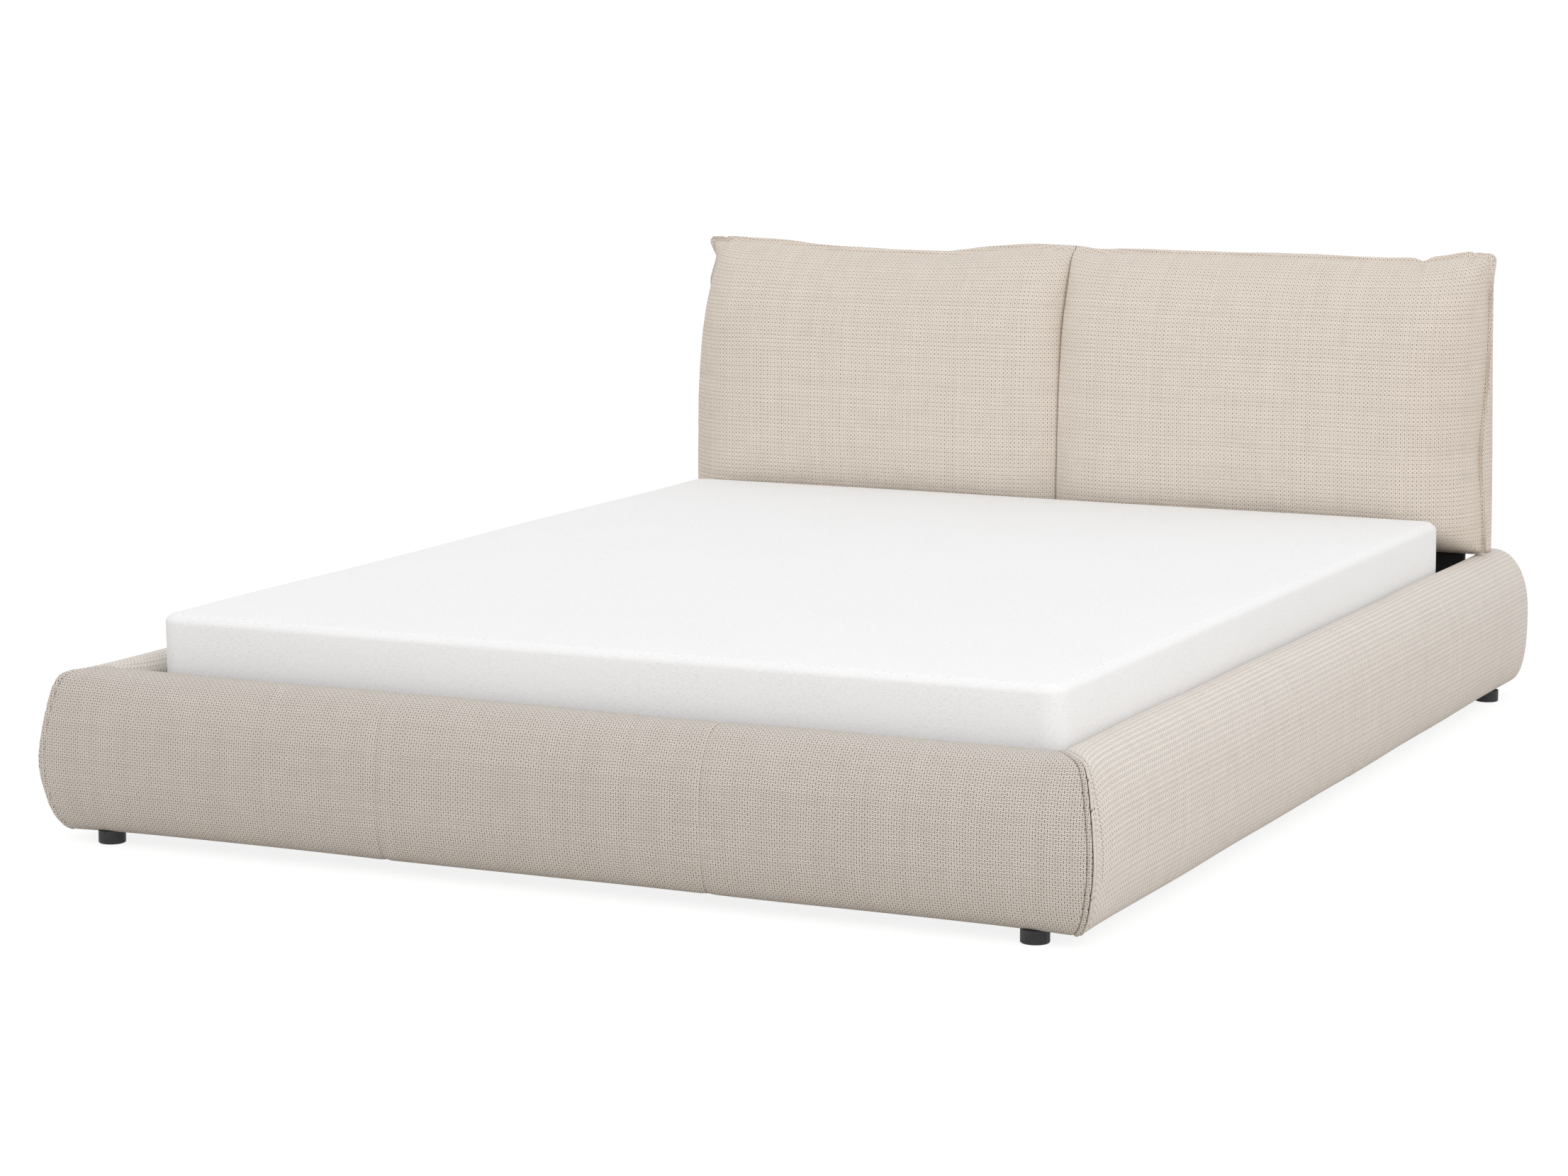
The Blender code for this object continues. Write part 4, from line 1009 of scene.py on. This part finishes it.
def cushion_points(cushion, hand, across, up, puckered=True):
    """Front and back points of one cushion over a grid of places across and up.

    The square grid's outer corners are rounded by the elliptical square-to-disc mapping before the outline's
    tables draw the edges in; at the top corner the flat edge curls forward into an ear.
    """
    side = 1 if hand == "right" else -1
    height = CUSHION_TOP - CUSHION_LOW
    for low_corner, reach in ((False, cushion.ear), (True, cushion.low_corner)):
        over = np.clip(1 - (CUSHION_WIDTH - across) / reach, 0.0, 1.0)
        along = np.clip(1 - (up if low_corner else height - up) / reach, 0.0, 1.0)
        near = (over > 0) & (along > 0)
        over_round, along_round = over * np.sqrt(1 - along**2 / 2), along * np.sqrt(1 - over**2 / 2)
        across = np.where(near, CUSHION_WIDTH - reach * (1 - over_round), across)
        rounded = reach * (1 - along_round)
        up = np.where(near, rounded if low_corner else height - rounded, up)
    share = up / height
    drop = smooth_table(across, 0.85, TOP_EDGE[hand])
    for place, deep, wide in TOP_DENTS[hand]:
        drop = drop + deep * np.exp(-(((across - place) / wide) ** 2)) * ease(share, 0.9, 0.99)
    pull = smooth_table(share, 1.0, OUTER_EDGE[hand])
    x = HEAD_MIDDLE + side * (across + 0.0004 - pull * ease(across, 0.62, CUSHION_WIDTH))
    x = x + cushion.crease_shift * (1 - ease(across, 0.0, 0.6))
    z = CUSHION_LOW + up - drop * ease(share, 0.55, 1.0)
    from_rim = np.minimum(CUSHION_WIDTH - across, np.minimum(up, height - up))
    half_edge = cushion.edge / 2
    thick = half_edge * roll(from_rim, 0.0025)
    leaf = np.clip(1 - from_rim / cushion.flange, 0.0, 1.0)
    ear = ease(across, CUSHION_WIDTH - 0.075, CUSHION_WIDTH - 0.02) * ease(share, 0.90, 0.97)
    bend = leaf**2 * (0.0035 * np.sin(across * 31.0) + 0.0025 * np.sin(up * 37.0 + 1.0))
    bend = bend - ear * leaf**1.5 * (0.014 if hand == "left" else 0.004)
    lean = 0.006 * (1 - leaf) * np.exp(-np.maximum(from_rim - cushion.flange, 0.0) / 0.02) * ease(share, 0.85, 0.95)
    plane = HEAD_PLANE - 0.0004 - half_edge - np.abs(bend) - lean
    rise = cushion_fullness(cushion, hand, across, up, puckered)
    front = np.stack([x, plane - thick - rise, z], axis=-1)
    back = np.stack([x, plane + thick, z], axis=-1)
    return front, back


def blown_up(points, cushion):
    """The points of a sheet after a cloth simulation: air fills it out from its pinned edge.

    The cloth is cut larger than the sheet by its slack, so that it gathers in small folds beside the seam.
    """
    rows, columns = points.shape[:2]
    index = np.arange(rows * columns).reshape(rows, columns)
    mesh = bpy.data.meshes.new("blown_sheet")
    mesh.from_pydata(points.reshape(-1, 3).tolist(), [], grid_quads(index).tolist())
    sheet = bpy.data.objects.new("blown_sheet", mesh)
    bpy.context.scene.collection.objects.link(sheet)
    rim = np.unique(np.concatenate([index[0], index[-1], index[:, 0], index[:, -1]]))
    sheet.vertex_groups.new(name="sewn").add(rim.tolist(), 1.0, "REPLACE")
    cloth = sheet.modifiers.new("cloth", "CLOTH")
    settings = cloth.settings
    settings.quality = 8
    settings.mass = 0.3
    settings.tension_stiffness = settings.compression_stiffness = 80
    settings.shear_stiffness = 5
    settings.bending_stiffness = 5
    settings.shrink_min = -cushion.slack
    settings.use_pressure = True
    settings.uniform_pressure_force = cushion.pressure
    settings.vertex_group_mass = "sewn"
    settings.effector_weights.gravity = 0
    cloth.point_cache.frame_start, cloth.point_cache.frame_end = 1, SIMULATED_FRAMES
    for step in range(1, SIMULATED_FRAMES + 1):
        bpy.context.scene.frame_set(step)
    settled = sheet.evaluated_get(bpy.context.evaluated_depsgraph_get()).to_mesh()
    places = np.empty(rows * columns * 3)
    settled.vertices.foreach_get("co", places)
    bpy.context.scene.frame_set(1)
    bpy.data.objects.remove(sheet)
    bpy.data.meshes.remove(mesh)
    return places.reshape(points.shape)


def blown_moves(cushion, hand, across, up):
    """How far the simulation moves a cushion's front at the places of a finer grid."""
    height = CUSHION_TOP - CUSHION_LOW
    knots_across = np.linspace(0.0, CUSHION_WIDTH - cushion.flange, SIMULATED_COLUMNS)
    knots_up = np.linspace(cushion.low_flange, height - cushion.flange, SIMULATED_ROWS)
    sheet, _ = cushion_points(cushion, hand, *np.meshgrid(knots_across, knots_up), puckered=False)
    turned = slice(None, None, 1 if hand == "right" else -1)
    moves = (blown_up(sheet[:, turned], cushion)[:, turned] - sheet) * cushion.blown_share
    by_up = cubic_weights(up, knots_up[0], knots_up[1] - knots_up[0], len(knots_up))
    by_across = cubic_weights(across, 0.0, knots_across[1], len(knots_across))
    return np.einsum("ai,ijk,bj->abk", by_up, moves, by_across)


class BED_OT_cushions(bpy.types.Operator):
    """Make the two headboard cushions, each a full front that swells from a flat sewn edge and rolls into the crease"""

    bl_idname = "bed.cushions"
    bl_label = "Headboard Cushions"

    def execute(self, context):
        cushion = context.scene.bed_cushions
        cloth = cloth_finish(context, "headboard")
        height = CUSHION_TOP - CUSHION_LOW
        seam = cushion.flange
        across = stations((0.0, CUSHION_WIDTH), 0.0075, 0.0014, [0.0, CUSHION_WIDTH - seam, CUSHION_WIDTH], 0.06)
        up = stations((0.0, height), 0.0075, 0.0014, [0.0, cushion.low_flange, height - seam, height], 0.06)
        grid = np.meshgrid(across, up)
        for hand in ("left", "right"):
            front, back = cushion_points(cushion, hand, *grid)
            flat, _ = cushion_points(cushion, hand, *grid, puckered=False)
            front = front + blown_moves(cushion, hand, across, up)
            marks = cloth_marks(flat, (len(up) // 2, len(across) // 2))
            wall = back[:, :1] + (front[:, :1] - back[:, :1]) * np.array([0.0, 0.5, 1.0])[None, :, None]
            sheets = [(front, marks), (wall, cloth_marks(wall)), (back, cloth_marks(back))]
            piece = skin(f"cushion_{hand}", sheets, cloth, "frame")
            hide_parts(f"headboard_cushion_{hand}")
        seam_up = np.linspace(0.02, height - 0.075, 120)
        line, _ = cushion_points(cushion, "right", np.full((120, 1), CUSHION_WIDTH - seam + 0.0005), seam_up[:, None])
        line = line[:, 0]
        outward = line_normals(line, np.tile([0.3, -1.0, 0.0], (120, 1)))
        stitch_row("flange_stitches", line, outward, 0.0042, 0.0013, 0.0008, "frame")
        return {"FINISHED"}


def rounded_rectangle(half_x, half_y, corner, inset, count_x, count_y, count_corner):
    """Closed outline of a rounded rectangle drawn in by inset, as rows of equally many points, one for each inset.

    A point is a corner's centre, moved along the straight sides, plus the corner radius towards its own angle.
    """
    quarter_angle = np.linspace(0.0, math.pi / 2, count_corner)
    weights, angles = [], []
    signs = ((1, 1), (-1, 1), (-1, -1), (1, -1), (1, 1))
    for turn in range(4):
        here, after = np.array(signs[turn], float), np.array(signs[turn + 1], float)
        angles.append(quarter_angle + turn * math.pi / 2)
        weights.append(np.tile(here, (count_corner, 1)))
        count = count_x if turn % 2 == 0 else count_y
        share = np.linspace(0.0, 1.0, count + 2)[1:-1]
        weights.append(here + (after - here) * share[:, None])
        angles.append(np.full(count, (turn + 1) * math.pi / 2))
    weights, angles = np.concatenate(weights), np.concatenate(angles)
    weights, angles = np.concatenate([weights, weights[:1]]), np.concatenate([angles, [2 * math.pi]])
    inset = np.asarray(inset)[:, None]
    radius = np.maximum(corner - inset, 0.0)
    x = weights[:, 0] * np.maximum(half_x - inset - radius, 0.0) + radius * np.cos(angles)
    y = weights[:, 1] * np.maximum(half_y - inset - radius, 0.0) + radius * np.sin(angles)
    return x, y


class BED_OT_mattress(bpy.types.Operator):
    """Make the mattress, a rounded block with soft edges in a white slub cover"""

    bl_idname = "bed.mattress"
    bl_label = "Mattress"

    def execute(self, context):
        mattress = context.scene.bed_mattress
        centre = (MATTRESS_LOW + MATTRESS_HIGH) / 2
        half_x, half_y, half_z = (MATTRESS_HIGH - MATTRESS_LOW) / 2
        edge = mattress.edge
        turn = np.linspace(0.0, math.pi / 2, 10)
        side = np.linspace(-half_z + edge, half_z - edge, 12)[1:-1]
        low_inset, low_z = edge - edge * np.sin(turn), -half_z + edge - edge * np.cos(turn)
        high_inset, high_z = (edge - edge * np.cos(turn)), half_z - edge + edge * np.sin(turn)
        band_inset = np.concatenate([low_inset, np.zeros(len(side)), high_inset])
        band_z = np.concatenate([low_z, side, high_z])
        top_inset = np.concatenate([[edge], np.linspace(edge + 0.01, half_x, 40)])
        sheets = []
        for inset, height, is_band in (
            (band_inset, band_z, True),
            (top_inset, np.full(len(top_inset), half_z), False),
            (top_inset, np.full(len(top_inset), -half_z), False),
        ):
            x, y = rounded_rectangle(half_x, half_y, mattress.corner, inset, 110, 140, 12)
            z = np.broadcast_to(height[:, None], x.shape)
            outline = np.hypot(np.diff(x, axis=1), np.diff(y, axis=1))
            length = np.concatenate([np.zeros((len(x), 1)), np.cumsum(outline, axis=1)], axis=1)
            waver = np.sin(x * 7.0 + 0.5) * np.sin(y * 6.0) * 0.0012
            crown = 0.004 * (1 - np.exp(-np.minimum(half_x - np.abs(x), half_y - np.abs(y)) / 0.05)) - 0.004
            lifted = ease(z, half_z - edge, half_z) * (crown + waver * 0.8)
            swell = 1 + 0.0014 * np.sin(x * 5.0 + y * 4.0) * (1 - (z / half_z) ** 2)
            points = np.stack([centre[0] + x * swell, centre[1] + y * swell, centre[2] + z + lifted], axis=-1)
            if is_band:
                marks = np.stack([np.broadcast_to(length[len(turn) + 4], x.shape), z], axis=-1)
            else:
                marks = np.stack([x, y], axis=-1)
            sheets.append((points, marks))
        knit = finish("mattress_cover", slub_knit(tuple(mattress.colour)))
        piece = skin("mattress_body", sheets, knit, "mattress")
        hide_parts("mattress")
        return {"FINISHED"}


def cut_in(z, top):
    """How far the frame's left edge is cut in at a height: a slant over the last part below its top."""
    return CORNER_CUT * np.clip((z - top + CORNER_CUT_HEIGHT) / CORNER_CUT_HEIGHT, 0.0, 1.0)


class BED_OT_headboard_cover(bpy.types.Operator):
    """Wrap the headboard's frame in cloth round both sides and the top, and cut the top left corner off its panel and
    left stile
    """

    bl_idname = "bed.headboard_cover"
    bl_label = "Headboard Cover"

    def execute(self, context):
        low, high = corners("headboard_cover")
        cloth = cloth_finish(context, "headboard")
        front, radius, turn_in = HEAD_PLANE + 0.0002, 0.004, 0.04
        angle = np.linspace(0.0, math.pi / 2, 6)
        folded = np.linspace(turn_in, radius, 6)
        inset = np.concatenate(
            [
                folded,
                (radius - radius * np.sin(angle))[1:],
                [0.0] * 8,
                (radius - radius * np.cos(angle))[1:],
                folded[-2::-1],
            ]
        )
        depth = np.concatenate(
            [
                np.full(6, front),
                (front + radius - radius * np.cos(angle))[1:],
                np.linspace(front + radius, high[1] - radius, 10)[1:-1],
                high[1] - radius + radius * np.sin(angle)[1:],
                np.full(5, high[1]),
            ]
        )
        corner = 0.012
        arc_turn = np.linspace(0.0, math.pi / 2, 8)
        rise = np.linspace(low[2], high[2] - corner, 90)
        level = np.linspace(low[0] + corner, high[0] - corner, 140)[1:-1]
        path_x = np.concatenate(
            [
                np.full(90, low[0]),
                low[0] + corner - corner * np.cos(arc_turn)[1:],
                level,
                high[0] - corner + corner * np.sin(arc_turn)[:-1],
                np.full(90, high[0]),
            ]
        )
        path_z = np.concatenate(
            [
                rise,
                high[2] - corner + corner * np.sin(arc_turn)[1:],
                np.full(len(level), high[2]),
                high[2] - corner + corner * np.cos(arc_turn)[:-1],
                rise[::-1],
            ]
        )
        ripple = 0.0008 * np.sin(path_x * 23.0 + path_z * 31.0) * np.sin(path_x * 7.0 + 1.0)
        share = np.clip((depth - front) / (high[1] - front), 0.0, 1.0)
        reach = inset[None, :] + np.maximum(ripple[:, None] * np.sin(np.pi * share)[None, :], 0.0) + 0.0001
        puff = (0.003 + 0.009 * (1 - ease(path_z, low[2], high[2]))) * (path_x > high[0] - 1e-6)
        z = np.minimum(path_z[:, None], high[2] - reach)
        x = np.minimum(path_x[:, None], high[0] - reach) + puff[:, None] * np.sin(np.pi * share * 0.62)[None, :]
        x = np.maximum(x, low[0] + cut_in(z, high[2]) + reach)
        y = np.broadcast_to(depth, x.shape)
        points = np.stack([x, y, z], axis=-1)
        steps = summed(np.hypot(np.diff(path_x), np.diff(path_z)))
        run = summed(np.hypot(np.diff(depth), np.diff(inset)))
        marks = np.stack([np.broadcast_to(run, x.shape), np.broadcast_to(steps[:, None], x.shape)], axis=-1)
        piece = skin("headboard_wrap", [(points, marks)], cloth, "frame")
        thicken(piece, COVER_THICKNESS, -1.0)
        area = float(np.linalg.norm(np.diff(points, axis=1), axis=2).sum(axis=1).mean() * steps[-1])
        chips = finish("particle_board_finish", chip_board)
        pine = finish("pine_along_z", planed_wood(2, *PINE))
        backing = [self.cut_board("headboard_panel", chips), self.cut_board("headboard_stile_left", pine)]
        area = min(area, run[-1] * steps[-1])
        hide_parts("headboard_cover")
        return {"FINISHED"}

    def cut_board(self, node, material):
        """A board of the headboard's frame with its top left corner cut off at a slant, behind the drawn-in cushion."""
        low, high = corners(node)
        bend = high[2] - CORNER_CUT_HEIGHT
        z = np.concatenate([np.linspace(low[2], bend, 2), np.linspace(bend, high[2], 12)[1:]])
        left = low[0] + cut_in(z, high[2])
        keep = left < high[0]
        z, left = z[keep], left[keep]
        outline = np.concatenate(
            [np.column_stack([left, z]), [[high[0], high[2]]] if keep.all() else np.empty((0, 2)), [[high[0], low[2]]]]
        )
        count = len(outline)
        points = np.concatenate([np.insert(outline, 1, y, axis=1) for y in (low[1], high[1])])
        ring = np.arange(count)
        after = np.roll(ring, -1)
        sides = np.column_stack([ring, after, after + count, ring + count]).tolist()
        mesh = bpy.data.meshes.new(node)
        mesh.from_pydata(points.tolist(), [], [ring[::-1].tolist(), (ring + count).tolist(), *sides])
        face_outwards(mesh, weld=False)
        piece = adopt(f"{node}_cut", mesh, material, "frame")
        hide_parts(node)
        return piece


# Each lining: its node, the axis it is thin along, the side it is seen from, and what it is stapled to
LININGS = (
    ("foot_rail_lining", 1, 1, "foot_rail_board"),
    ("side_rail_lining_left", 0, 1, "side_rail_board_left"),
    ("side_rail_lining_right", 0, -1, "side_rail_board_right"),
    ("headboard_lower_lining", 1, -1, "headboard_lower_board"),
    ("headboard_back_lining", 1, 1, "headboard_top_rail"),
)


def lining_places(first, last, spacing, hem):
    """Places from first to last: fine over both hems, spacing apart between them."""
    fold = np.array([0.0, 0.3, 0.8, 1.0, 1.12, 1.4]) * hem
    inner = np.linspace(first + 2 * hem, last - 2 * hem, int((last - first) / spacing) + 2)
    return np.concatenate([first + fold, inner, last - fold[::-1]])


class BED_OT_linings(bpy.types.Operator):
    """Staple the black linings to the rails' inner faces and to the headboard, each with a folded hem"""

    bl_idname = "bed.linings"
    bl_label = "Linings"

    def execute(self, context):
        hem = 0.012
        cloth = finish("lining_finish", lining_cloth)
        for number, (node, thin, facing, board) in enumerate(LININGS):
            low, high = corners(node)
            wide = 1 - thin
            across = lining_places(low[wide], high[wide], 0.02, hem)
            upward = lining_places(low[2], high[2], 0.02, hem)
            a, u = np.meshgrid(across, upward)
            rim = np.minimum(np.minimum(a - low[wide], high[wide] - a), np.minimum(u - low[2], high[2] - u))
            hemmed = 1 - ease(rim, hem * 0.95, hem * 1.15)
            middle = (low[thin] + high[thin]) / 2
            slack = np.sin(a * 9.0 + number) * np.sin(u * 21.0 + number) + 0.6 * np.sin(a * 31.0 + u * 17.0)
            offset = facing * (0.00025 * hemmed + 0.00012 * slack * ease(rim, hem, 0.05))
            points = np.empty((*a.shape, 3))
            points[..., wide], points[..., thin], points[..., 2] = a, middle + offset, u
            marks = np.stack([a, u], axis=-1)
            name = node.replace("lining", "lining_cloth")
            piece = skin(name, [(points, marks)], cloth, "frame")
            thicken(piece, LINING_THICKNESS, 0.0)
            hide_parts(node)
            staples = []
            for height in (low[2] + 0.006, high[2] - 0.006):
                path = np.empty((2, 3))
                path[:, wide] = low[wide] + 0.01, high[wide] - 0.01
                path[:, thin] = middle + facing * 0.0004
                path[:, 2] = height
                normals = np.zeros((2, 3))
                normals[:, thin] = facing
                name = f"{node}_staples_{len(staples)}"
                row = stitch_row(name, path, normals, STAPLE, STAPLE_GAP, 0.00035, "frame", "zinc_plated_steel")
                staples.append(row)
        return {"FINISHED"}


class BED_OT_webbing(bpy.types.Operator):
    """Run the two webbing bands under the slats, stapled to each one"""

    bl_idname = "bed.webbing"
    bl_label = "Slat Webbing"

    def execute(self, context):
        slat_low, slat_high = corners("slat_01")
        next_low, _ = corners("slat_02")
        first, pitch = (slat_low[1] + slat_high[1]) / 2, next_low[1] - slat_low[1]
        for hand in ("left", "right"):
            low, high = corners(f"slat_webbing_{hand}")
            width, middle = high[0] - low[0], (low[0] + high[0]) / 2
            y = np.linspace(low[1], high[1], 590)
            across = np.concatenate([[0.0, 0.015, 0.05, 0.07], np.linspace(0.12, 0.88, 12), [0.93, 0.95, 0.985, 1.0]])
            a, along = np.meshgrid(across, y)
            edge = np.minimum(a, 1 - a) * width
            selvedge = np.exp(-(((edge - 0.0008) / 0.0005) ** 2))
            half = 0.0004 * roll(edge, 0.0004) * (1 + 0.3 * selvedge)
            end = np.minimum(along - low[1], high[1] - along)
            half = half * (end > 0)
            between = np.sin(math.pi * (along - first) / pitch) ** 2
            level = high[2] - 0.0006 - 0.00015 * between
            x = low[0] + a * width + 0.0004 * np.sin(along * 5.0)
            sheets = [
                (np.stack([x, along, level + sign * half], axis=-1), np.stack([a * width, along], axis=-1))
                for sign in (1, -1)
            ]
            piece = skin(f"webbing_band_{hand}", sheets, finish("webbing_finish", band_weave), "frame")
            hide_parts(f"slat_webbing_{hand}")
            path = np.array([[middle, first - pitch + 0.005, low[2]], [middle, high[1] + pitch, low[2]]])
            down = np.array([[0.0, 0.0, -1.0]] * 2)
            name = f"webbing_staples_{hand}"
            stitch_row(name, path, down, STAPLE, pitch - STAPLE, 0.0004, "frame", "zinc_plated_steel")
        return {"FINISHED"}


def grain_axis(node):
    """The axis along which a wooden node is longest."""
    low, high = corners(node)
    return int(np.argmax(high - low))


class BED_OT_finishes(bpy.types.Operator):
    """Give every carried-over solid its finish: timber, boards, foam, webbing, linings, steel and plastic"""

    bl_idname = "bed.finishes"
    bl_label = "Finishes"

    def execute(self, context):
        plain = {
            "particle_board": ("particle_board_finish", chip_board),
            "foam": ("foam_finish", foam_crumb),
            "black_lining": ("lining_finish", lining_cloth),
            "webbing": ("webbing_finish", band_weave),
            "zinc_plated_steel": ("zinc_finish", zinc_plate),
            "black_painted_steel": ("powder_coat_finish", powder_coat),
            "black_plastic": ("plastic_finish", moulded_plastic),
            "white_ticking": ("mattress_cover", slub_knit(tuple(context.scene.bed_mattress.colour))),
        }
        timber = {
            "pine": PINE,
            "poplar": ((0.62, 0.47, 0.29), (0.86, 0.74, 0.55)),
        }
        for entry in frame["record"]["subparts"]:
            node, slot = entry["node"], entry["material_slot"]
            if slot in timber:
                along = grain_axis(node)
                material = finish(f"{slot}_along_{'xyz'[along]}", planed_wood(along, *timber[slot]))
            elif slot in plain:
                material = finish(*plain[slot])
            else:
                material = cloth_finish(context, node.split("_")[0])
            for place in frame["nodes"][node].material_slots:
                place.material = material
        return {"FINISHED"}


class BED_OT_studio(bpy.types.Operator):
    """Set up the floor, the white background, the lamps and the camera"""

    bl_idname = "bed.studio"
    bl_label = "Studio"

    def execute(self, context):
        studio = context.scene.bed_studio
        scene = context.scene
        scene.view_settings.view_transform = "Standard"

        world = bpy.data.worlds.new("studio_sky")
        world.use_nodes = True
        scene.world = world
        tree = world.node_tree
        start = Wire(tree)
        seen = self.seen_directly(start)
        strength = studio.sky + seen * (1.0 - studio.sky)
        background = tree.nodes["Background"]
        background.inputs["Color"].default_value = (1.0, 1.0, 1.0, 1.0)
        tree.links.new(strength.socket, background.inputs["Strength"])

        x, y = np.meshgrid(np.linspace(-30.0, 30.0, 13), np.linspace(-20.0, 40.0, 13))
        points = np.stack([x, y, np.zeros_like(x)], axis=-1)
        index = np.arange(x.size).reshape(x.shape)
        mesh = bpy.data.meshes.new("floor")
        mesh.from_pydata(points.reshape(-1, 3).tolist(), [], grid_quads(index).tolist())
        floor = bpy.data.objects.new("floor", mesh)
        scene.collection.objects.link(floor)
        mesh.materials.append(self.floor_finish())

        for name, energy, size, place, target in (
            ("key_lamp", studio.key, 3.0, (4.0, -5.0, 3.0), (0.0, 0.0, 0.4)),
            ("fill_lamp", studio.fill, 3.0, (5.0, -1.5, 2.6), (0.3, 0.0, 0.3)),
        ):
            lamp = bpy.data.lights.new(name, "AREA")
            lamp.energy = energy
            lamp.size = size
            stand = bpy.data.objects.new(name, lamp)
            scene.collection.objects.link(stand)
            stand.location = place
            away = np.array(place) - np.array(target)
            flat = math.hypot(away[0], away[1])
            stand.rotation_euler = (math.atan2(flat, away[2]), 0.0, math.atan2(away[0], -away[1]))

        camera = bpy.data.cameras.new("camera")
        camera.sensor_fit = "HORIZONTAL"
        camera.sensor_width = 36.0
        camera.lens = CAMERA_LENS
        camera.clip_end = 200.0
        viewer = bpy.data.objects.new("camera", camera)
        viewer.location = CAMERA_PLACE
        tilt, turn = (math.radians(angle) for angle in CAMERA_DEGREES)
        viewer.rotation_euler = (tilt, 0.0, turn)
        scene.collection.objects.link(viewer)
        scene.camera = viewer
        return {"FINISHED"}

    def seen_directly(self, start):
        """1 for rays from the camera and for mirrored and refracted ones."""
        path = start.node("ShaderNodeLightPath", output="Is Camera Ray")
        mirrored = start.maths("MAXIMUM", path.other("Is Glossy Ray"), path.other("Is Transmission Ray"))
        return start.maths("MAXIMUM", path, mirrored)

    def floor_finish(self):
        """White floor that shows as white to the camera but for the object's soft shadow."""
        made = bpy.data.materials.new("studio_floor")
        made.use_nodes = True
        tree = made.node_tree
        tree.nodes.remove(tree.nodes["Principled BSDF"])
        start = Wire(tree)
        plain = start.node("ShaderNodeBsdfDiffuse", {"Color": (0.68, 0.65, 0.61, 1.0)})
        shaded = start.node("ShaderNodeBsdfDiffuse", {"Color": (0.22, 0.22, 0.22, 1.0)})
        glow = start.node("ShaderNodeEmission", {"Color": (1.0, 1.0, 1.0, 1.0), "Strength": 0.85})
        both = start.node("ShaderNodeAddShader", {0: shaded, 1: glow})
        mixed = start.node("ShaderNodeMixShader", {0: self.seen_directly(start), 1: plain, 2: both})
        tree.links.new(mixed.socket, tree.nodes["Material Output"].inputs["Surface"])
        return made


class BED_PT_dressing(bpy.types.Panel):
    """Lists the steps that dress the bed"""

    bl_idname = "BED_PT_dressing"
    bl_label = "Bed Dressing"
    bl_space_type = "VIEW_3D"
    bl_region_type = "UI"
    bl_category = "Bed"

    def draw(self, context):
        for step in STEPS:
            self.layout.operator(step.bl_idname)


SETTINGS = {
    "bed_cloth": BedClothSettings,
    "bed_rails": BedRailSettings,
    "bed_cushions": BedCushionSettings,
    "bed_mattress": BedMattressSettings,
    "bed_studio": BedStudioSettings,
}
STEPS = (
    BED_OT_studio,
    BED_OT_finishes,
    BED_OT_rails,
    BED_OT_topstitch,
    BED_OT_cushions,
    BED_OT_headboard_cover,
    BED_OT_linings,
    BED_OT_webbing,
    BED_OT_mattress,
)


def register():
    for group in SETTINGS.values():
        bpy.utils.register_class(group)
    for name, group in SETTINGS.items():
        setattr(bpy.types.Scene, name, PointerProperty(type=group))
    for step in STEPS:
        bpy.utils.register_class(step)
    bpy.utils.register_class(BED_PT_dressing)


def unregister():
    bpy.utils.unregister_class(BED_PT_dressing)
    for step in reversed(STEPS):
        bpy.utils.unregister_class(step)
    for name, group in reversed(SETTINGS.items()):
        delattr(bpy.types.Scene, name)
        bpy.utils.unregister_class(group)


def main():
    register()
    bpy.ops.bed.studio()
    bpy.ops.bed.finishes()
    bpy.ops.bed.rails()
    bpy.ops.bed.topstitch()
    bpy.ops.bed.cushions()
    bpy.ops.bed.headboard_cover()
    bpy.ops.bed.linings()
    bpy.ops.bed.webbing()
    bpy.ops.bed.mattress()


if __name__ == "__main__":
    main()
